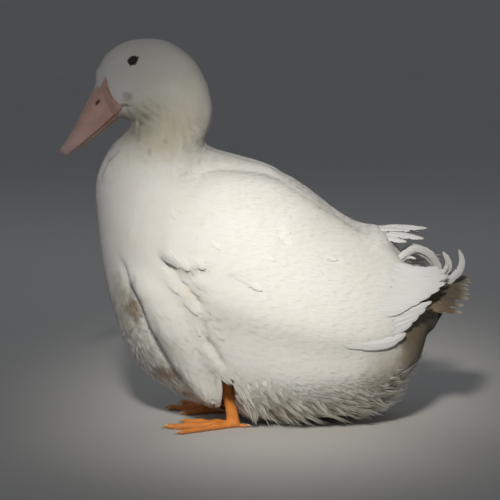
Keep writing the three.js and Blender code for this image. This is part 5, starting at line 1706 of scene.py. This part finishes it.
def lids(side):
    """A ring of naked skin round the opening: its edge lies on the ball, and its outside goes under the feathers."""
    na = 72
    rows, rims = [], []
    for k, (grow, lift_, rim) in enumerate([(.93, -.5, 1), (.98, .18, 1), (1.02, .48, 1), (1.08, .55, .8), (1.15, .35, .3), (1.24, .05, .05), (1.36, -.35, 0), (1.5, -.8, 0), (1.7, -1.6, 0)]):
        ring_ = []
        for q in range(na):
            a = 2 * math.pi * q / na
            u, v = math.cos(a), math.sin(a)
            # pointed corners: an almond, its front corner drawn out a little
            point_ = 1 + .16 * abs(u) ** 6
            u_, v_ = EYE_LONG * u * point_ * grow, EYE_HIGH * v * grow * (1 - .10 * (abs(u) ** 3))
            y = EYE[1] + u_ * math.cos(-EYE_TILT) - v_ * math.sin(-EYE_TILT)
            z = EYE[2] + u_ * math.sin(-EYE_TILT) + v_ * math.cos(-EYE_TILT)
            skin_x = surface_x(y, z)
            low_x = skin_x - 1.5
            d2 = EYE_R ** 2 - (y - EYE_MID[1]) ** 2 - (z - EYE_MID[2]) ** 2
            ball_x = max(low_x, EYE_MID[0] + math.sqrt(max(d2, 0))) if d2 > 0 else low_x
            w = smooth(np.array(grow), 1.0, 1.4)
            folds = .10 * math.sin(q * 2.0 + k) * (1 if 1.1 < grow < 1.7 else 0)
            x = (ball_x + .18) * (1 - w) + (skin_x - .15) * w + lift_ + folds
            ring_.append([x, y, z])
        rows.append(ring_)
        rims.append([rim] * na)
    v = np.array(rows).reshape(-1, 3)
    rims = np.array(rims).reshape(-1)
    faces = grid_faces(len(rows), na)
    c = np.cross(v[faces[200, 1]] - v[faces[200, 0]], v[faces[200, 3]] - v[faces[200, 0]])[0]
    if side < 0:
        v = v * [-1, 1, 1]
        c = -c
    if (c < 0) == (side > 0):
        faces = faces[:, ::-1]
    return ride(mesh_object("eyelids_L" if side > 0 else "eyelids_R", v, faces, LID_MAT, attrs={"rim": rims}), "plumage")


for side in (1, -1):
    eyeball(side)
    lids(side)


# ---------------------------------------------------------------- legs and feet
HALF_FEET, TARSUS_Y = 36.0, -8.0
LEG_TABLE = np.array([[.5, 4.6, 7.0, 7.6], [0, 12, 5.2, 6.4], [-2, 24, 4.8, 6.2], [-4.5, 36, 5.2, 6.8], [-6.5, 46, 6.8, 8.4], [-8, 56, 7.0, 8.8], [-9, 64, 6.0, 7.6]])
TOES = [(72.0, 7, 5.2, 3.4), (66.96, 31, 4.8, 3.1), (57.6, -18, 4.8, 3.1)]
HALLUX = (14.0, 168, 3.2, 2.2)


def tube(rings_):
    """A closed tube from rings of equal count, with fans at both ends."""
    r = np.array(rings_)
    n, m = r.shape[:2]
    v = np.concatenate([r.reshape(-1, 3), [r[0].mean(0)], [r[-1].mean(0)]])
    q = grid_faces(n, m)
    e = np.array([[n * m, (j + 1) % m, j] for j in range(m)] + [[n * m + 1, (n - 1) * m + j, (n - 1) * m + (j + 1) % m] for j in range(m)])
    return v, q, e


def leg_form():
    """Tarsus, toes and webs as overlapping closed forms, which are then fused."""
    parts = []
    th = 2 * np.pi * np.arange(28) / 28
    rows = []
    for k in range(40):
        t = (len(LEG_TABLE) - 1) * k / 39
        y, z, rx, ry = table_at(LEG_TABLE, t)[0]
        if k == 0:
            z = 2.5
        rows.append(np.stack([HALF_FEET + rx * np.cos(th), TARSUS_Y + y + ry * np.sin(th) * (1 + .06 * np.sin(2 * th)), np.full(28, z)], -1))
    parts.append(tube(rows))
    for ln, ang, r0, r1 in [*TOES, HALLUX]:
        a = math.radians(ang)
        rows = []
        n = 34
        joints = 1 if ln < 20 else 3
        for k in range(n + 1):
            f = -.05 + 1.05 * k / n
            knuckle = 1 + .10 * math.cos(2 * math.pi * (f * joints + .02))
            r = (r0 + (r1 - r0) * max(f, 0)) * knuckle
            if f > .94:
                r *= max(.25, math.cos((f - .94) / .06 * 1.25))
            s = ln * f
            ring_ = []
            for q in range(18):
                t = 2 * math.pi * (q + .5) / 18
                across, up = r * math.cos(t), max(-r * .62, r * math.sin(t) * .92) + r * .62
                ring_.append([HALF_FEET + math.sin(a) * s + math.cos(a) * across, TARSUS_Y + 2 - math.cos(a) * s + math.sin(a) * across, up])
            rows.append(ring_)
        parts.append(tube(rows))
    # webs: a sheet between neighbouring toes, hollow along its front edge, hanging a little between them
    order = [TOES[2], TOES[0], TOES[1]]
    for (l0, a0, *_), (l1, a1, *_) in zip(order[:-1], order[1:]):
        nr, na = 22, 14
        top, bot = [], []
        for i in range(nr + 1):
            for j in range(na + 1):
                f, g = j / na, i / nr
                ang = math.radians(a0 + (a1 - a0) * f)
                reach = (l0 + (l1 - l0) * f) * (.965 - .17 * math.sin(math.pi * f)) * (.08 + .92 * g)
                x, y = HALF_FEET + math.sin(ang) * reach, TARSUS_Y + 2 - math.cos(ang) * reach
                sag = .5 * math.sin(math.pi * f) * g
                fold = .16 * math.sin(f * math.pi * 5) * math.sin(math.pi * g)
                top.append([x, y, 2.3 - sag + fold])
                bot.append([x, y, .0])
        n = (nr + 1) * (na + 1)
        v = np.array(top + bot)
        q = grid_faces(nr + 1, na + 1, closed=False)
        q2 = q[:, ::-1] + n
        rim = [i * (na + 1) for i in range(nr + 1)] + [nr * (na + 1) + j for j in range(1, na + 1)]
        rim += [i * (na + 1) + na for i in range(nr - 1, -1, -1)] + [j for j in range(na - 1, 0, -1)]
        side_q = np.array([[rim[k], rim[(k + 1) % len(rim)], rim[(k + 1) % len(rim)] + n, rim[k] + n] for k in range(len(rim))])
        parts.append((v, np.concatenate([q, q2, side_q]), np.zeros((0, 3), int)))
    V, Q, E, base_ = [], [], [], 0
    for v, q, e in parts:
        V.append(v), Q.append(q + base_), E.append(e + base_)
        base_ += len(v)
    return np.concatenate(V), np.concatenate(Q), np.concatenate(E)


def leg_material():
    m, nodes, links = material("leg_scales")
    where = add(nodes, "ShaderNodeTexCoord").outputs["Object"]
    web = add(nodes, "ShaderNodeAttribute", attribute_name="web").outputs["Fac"]
    cells = add(nodes, "ShaderNodeTexVoronoi", feature="DISTANCE_TO_EDGE")
    links.new(where, cells.inputs["Vector"])
    cells.inputs["Scale"].default_value = 560
    gap = remap(nodes, links, cells.outputs["Distance"], .0, .10)
    colour = mixer(nodes, links, remap(nodes, links, noise(nodes, links, where, 95, 4, .6), .3, .75), (.83, .30, .055), (.72, .22, .04))
    colour = mixer(nodes, links, remap(nodes, links, noise(nodes, links, where, 330, 3), .5, .8, 0, .5), colour, (.86, .44, .15))
    colour = mixer(nodes, links, web, colour, (.78, .27, .06))
    colour = mixer(nodes, links, remap(nodes, links, gap, 0, 1, .55, 0), colour, (.42, .12, .03))
    sep = add(nodes, "ShaderNodeSeparateXYZ")
    links.new(where, sep.inputs[0])
    colour = mixer(nodes, links, remap(nodes, links, sep.outputs[2], .004, .0, 0, .6), colour, (.24, .12, .06))
    # the top of the tarsus, up in the recess under the body, turns dark reddish brown: partly fleshier skin, partly
    # painted shade
    high = maths(nodes, links, "MULTIPLY", noise(nodes, links, where, 160, 3), .012)
    high = maths(nodes, links, "ADD", high, sep.outputs[2])
    colour = mixer(nodes, links, remap(nodes, links, high, .054, .066, 0, .92), colour, (.155, .055, .032))
    bsdf = add(nodes, "ShaderNodeBsdfPrincipled")
    links.new(colour, bsdf.inputs["Base Color"])
    bsdf.inputs["Roughness"].default_value = .5
    bsdf.inputs["Specular IOR Level"].default_value = .35
    bump = add(nodes, "ShaderNodeBump")
    bump.inputs["Strength"].default_value = .7
    bump.inputs["Distance"].default_value = .0005
    links.new(maths(nodes, links, "ADD", gap, maths(nodes, links, "MULTIPLY", noise(nodes, links, where, 800, 3), .4)), bump.inputs["Height"])
    links.new(bump.outputs[0], bsdf.inputs["Normal"])
    out = add(nodes, "ShaderNodeOutputMaterial")
    links.new(bsdf.outputs[0], out.inputs[0])
    return m


def claw_material():
    m, nodes, links = material("claw_horn")
    where = add(nodes, "ShaderNodeTexCoord").outputs["Object"]
    colour = mixer(nodes, links, noise(nodes, links, where, 500, 4), (.62, .47, .32), (.36, .24, .15))
    bsdf = add(nodes, "ShaderNodeBsdfPrincipled")
    links.new(colour, bsdf.inputs["Base Color"])
    bsdf.inputs["Roughness"].default_value = .38
    out = add(nodes, "ShaderNodeOutputMaterial")
    links.new(bsdf.outputs[0], out.inputs[0])
    return m


LEG_MAT, CLAW_MAT = leg_material(), claw_material()


def make_leg():
    v, q, e = leg_form()
    rough = mesh_object("leg_rough", v, [q, e], LEG_MAT)
    mod = rough.modifiers.new("fuse", "REMESH")
    mod.mode, mod.voxel_size = "VOXEL", .00075
    sm = rough.modifiers.new("soften", "SMOOTH")
    sm.factor, sm.iterations = .5, 4
    got = bpy.data.meshes.new_from_object(rough.evaluated_get(bpy.context.evaluated_depsgraph_get()))
    bpy.data.objects.remove(rough)
    co = np.zeros(len(got.vertices) * 3)
    got.vertices.foreach_get("co", co)
    co = co.reshape(-1, 3) * 1000 + [0, MIDDLE_Y, 0]
    n = np.zeros(len(got.vertices) * 3)
    got.vertices.foreach_get("normal", n)
    n = n.reshape(-1, 3)
    # scutes: cross plates along the front of the tarsus and the tops of the toes
    tarsus = smooth(co[:, 2], 8, 14)
    front = smooth(-n[:, 1], .1, .6) * tarsus
    plate = np.abs(np.sin(co[:, 2] * math.pi / 3.4)) ** .5
    shift = front * (.34 * plate - .2)
    top = smooth(n[:, 2], .3, .8) * (1 - tarsus)
    for ln, ang, r0, r1 in TOES:
        a = math.radians(ang)
        dx, dy = co[:, 0] - HALF_FEET, co[:, 1] - TARSUS_Y - 2
        s = dx * math.sin(a) - dy * math.cos(a)
        across = dx * math.cos(a) + dy * math.sin(a)
        on = (1 - smooth(np.abs(across), 2.2, 4.2)) * smooth(s, 6, 12) * top
        shift += on * (.30 * np.abs(np.sin(s * math.pi / 2.6)) ** .5 - .15)
    co = co + n * shift[:, None]
    co[:, 2] = np.maximum(co[:, 2], 0)
    web = np.zeros(len(co))
    d = np.full(len(co), 1e9)
    for ln, ang, r0, r1 in TOES:
        a = math.radians(ang)
        dx, dy = co[:, 0] - HALF_FEET, co[:, 1] - TARSUS_Y - 2
        d = np.minimum(d, np.abs(dx * math.cos(a) + dy * math.sin(a)))
    web = smooth(d, 3.5, 6) * (co[:, 2] < 4)
    faces = np.zeros(len(got.loops), int)
    got.loops.foreach_get("vertex_index", faces)
    quads = faces.reshape(-1, 4)
    for side, tag in ((1, "L"), (-1, "R")):
        c = co * [side, 1, 1]
        f = quads if side > 0 else quads[:, ::-1]
        ride(mesh_object("foot_and_tarsus_" + tag, c, f, LEG_MAT, attrs={"web": web}), "leg", "leg_" + tag, "foot_" + tag)
        # claws
        V, Q, E, base_ = [], [], [], 0
        for ln, ang, r0, r1 in [*TOES, HALLUX]:
            a = math.radians(ang)
            rows = []
            reach = r1 * 2.1 + 1.6
            for k in range(13):
                g = k / 12
                r = max(.12, r1 * .62 * (1 - g ** 1.4))
                s = ln * .965 + reach * g
                h = r1 * .98 * (1 - g ** 2) + .45 + .35 * math.sin(math.pi * g)
                rows.append([[HALF_FEET + math.sin(a) * s + math.cos(a) * r * math.cos(t) * .8,
                              TARSUS_Y + 2 - math.cos(a) * s + math.sin(a) * r * math.cos(t) * .8, max(.02, h + r * math.sin(t))] for t in 2 * np.pi * np.arange(14) / 14])
            v, q, e = tube(rows)
            V.append(v), Q.append(q + base_), E.append(e + base_)
            base_ += len(v)
        V, Q, E = np.concatenate(V) * [side, 1, 1], np.concatenate(Q), np.concatenate(E)
        mid = V[:14 * 13].mean(0)
        if (np.cross(V[Q[40, 1]] - V[Q[40, 0]], V[Q[40, 3]] - V[Q[40, 0]]) @ (V[Q[40, 0]] - V[Q[40].min() // 14 * 14:Q[40].min() // 14 * 14 + 14].mean(0))) < 0:
            Q, E = Q[:, ::-1], E[:, ::-1]
        ride(mesh_object("claws_" + tag, V, [Q, E], CLAW_MAT), "leg")


make_leg()


# ---------------------------------------------------------------- floor, light, camera
def floor_material():
    m, nodes, links = material("floor")
    where = add(nodes, "ShaderNodeTexCoord").outputs["Object"]
    colour = mixer(nodes, links, noise(nodes, links, where, 3, 2), (.52, .51, .49), (.56, .55, .53))
    bsdf = add(nodes, "ShaderNodeBsdfPrincipled")
    links.new(colour, bsdf.inputs["Base Color"])
    bsdf.inputs["Roughness"].default_value = .8
    out = add(nodes, "ShaderNodeOutputMaterial")
    links.new(bsdf.outputs[0], out.inputs[0])
    return m


fm = bpy.data.meshes.new("floor")
ring = [(12 * math.cos(a), 12 * math.sin(a), 0) for a in np.linspace(0, 2 * math.pi, 64, endpoint=False)]
fm.from_pydata(ring, [], [list(range(64))])
fm.materials.append(floor_material())
floor = bpy.data.objects.new("floor", fm)
bpy.context.scene.collection.objects.link(floor)


def area_light(name, at, to, size, power, colour=(1, 1, 1), spread=180):
    d = bpy.data.lights.new(name, "AREA")
    d.shape, d.size, d.energy, d.color = "DISK", size, power, colour
    d.spread = math.radians(spread)
    o = bpy.data.objects.new(name, d)
    o.location = at
    o.rotation_mode = "QUATERNION"
    o.rotation_quaternion = (Vector(to) - Vector(at)).to_track_quat("-Z", "Y")
    bpy.context.scene.collection.objects.link(o)
    return o


def spot_light(name, at, to, radius, power, angle, colour=(1, 1, 1)):
    d = bpy.data.lights.new(name, "SPOT")
    d.shadow_soft_size, d.energy, d.color, d.spot_size, d.spot_blend = radius, power, colour, math.radians(angle), 1.0
    o = bpy.data.objects.new(name, d)
    o.location = at
    o.rotation_mode = "QUATERNION"
    o.rotation_quaternion = (Vector(to) - Vector(at)).to_track_quat("-Z", "Y")
    bpy.context.scene.collection.objects.link(o)
    return o


spot_light("key", (1.5, -.14, 1.18), (.09, .012, .163), .13, 145, 17.4, (1, .965, .91))
area_light("fill", (1.4, -1.3, .7), (0, -.1, .2), 1.2, 1.6, (.96, .975, 1))
area_light("back", (-1.2, -.1, 1.3), (0, 0, .2), 1.0, 1.7, (.95, .97, 1))
world = bpy.data.worlds.new("studio")
world.use_nodes = True
world.node_tree.nodes["Background"].inputs[0].default_value = (.80, .84, .90, 1)
world.node_tree.nodes["Background"].inputs[1].default_value = .15
bpy.context.scene.world = world

cam_data = bpy.data.cameras.new("camera")
cam_data.sensor_width, cam_data.lens = 36, 2285.7 / 500 * 36
cam_data.clip_start, cam_data.clip_end = .05, 60
camera = bpy.data.objects.new("camera", cam_data)
EL, DIST = math.radians(9), 2.4
aim = Vector((0, (10.5 - MIDDLE_Y) / 1000, .1818))
camera.location = aim + DIST * Vector((math.cos(EL), 0, math.sin(EL)))
camera.rotation_mode = "QUATERNION"
camera.rotation_quaternion = (aim - camera.location).to_track_quat("-Z", "Y")
bpy.context.scene.collection.objects.link(camera)
bpy.context.scene.camera = camera
view = bpy.context.scene.view_settings
view.view_transform, view.look, view.exposure, view.gamma = "Standard", "None", 0, 1
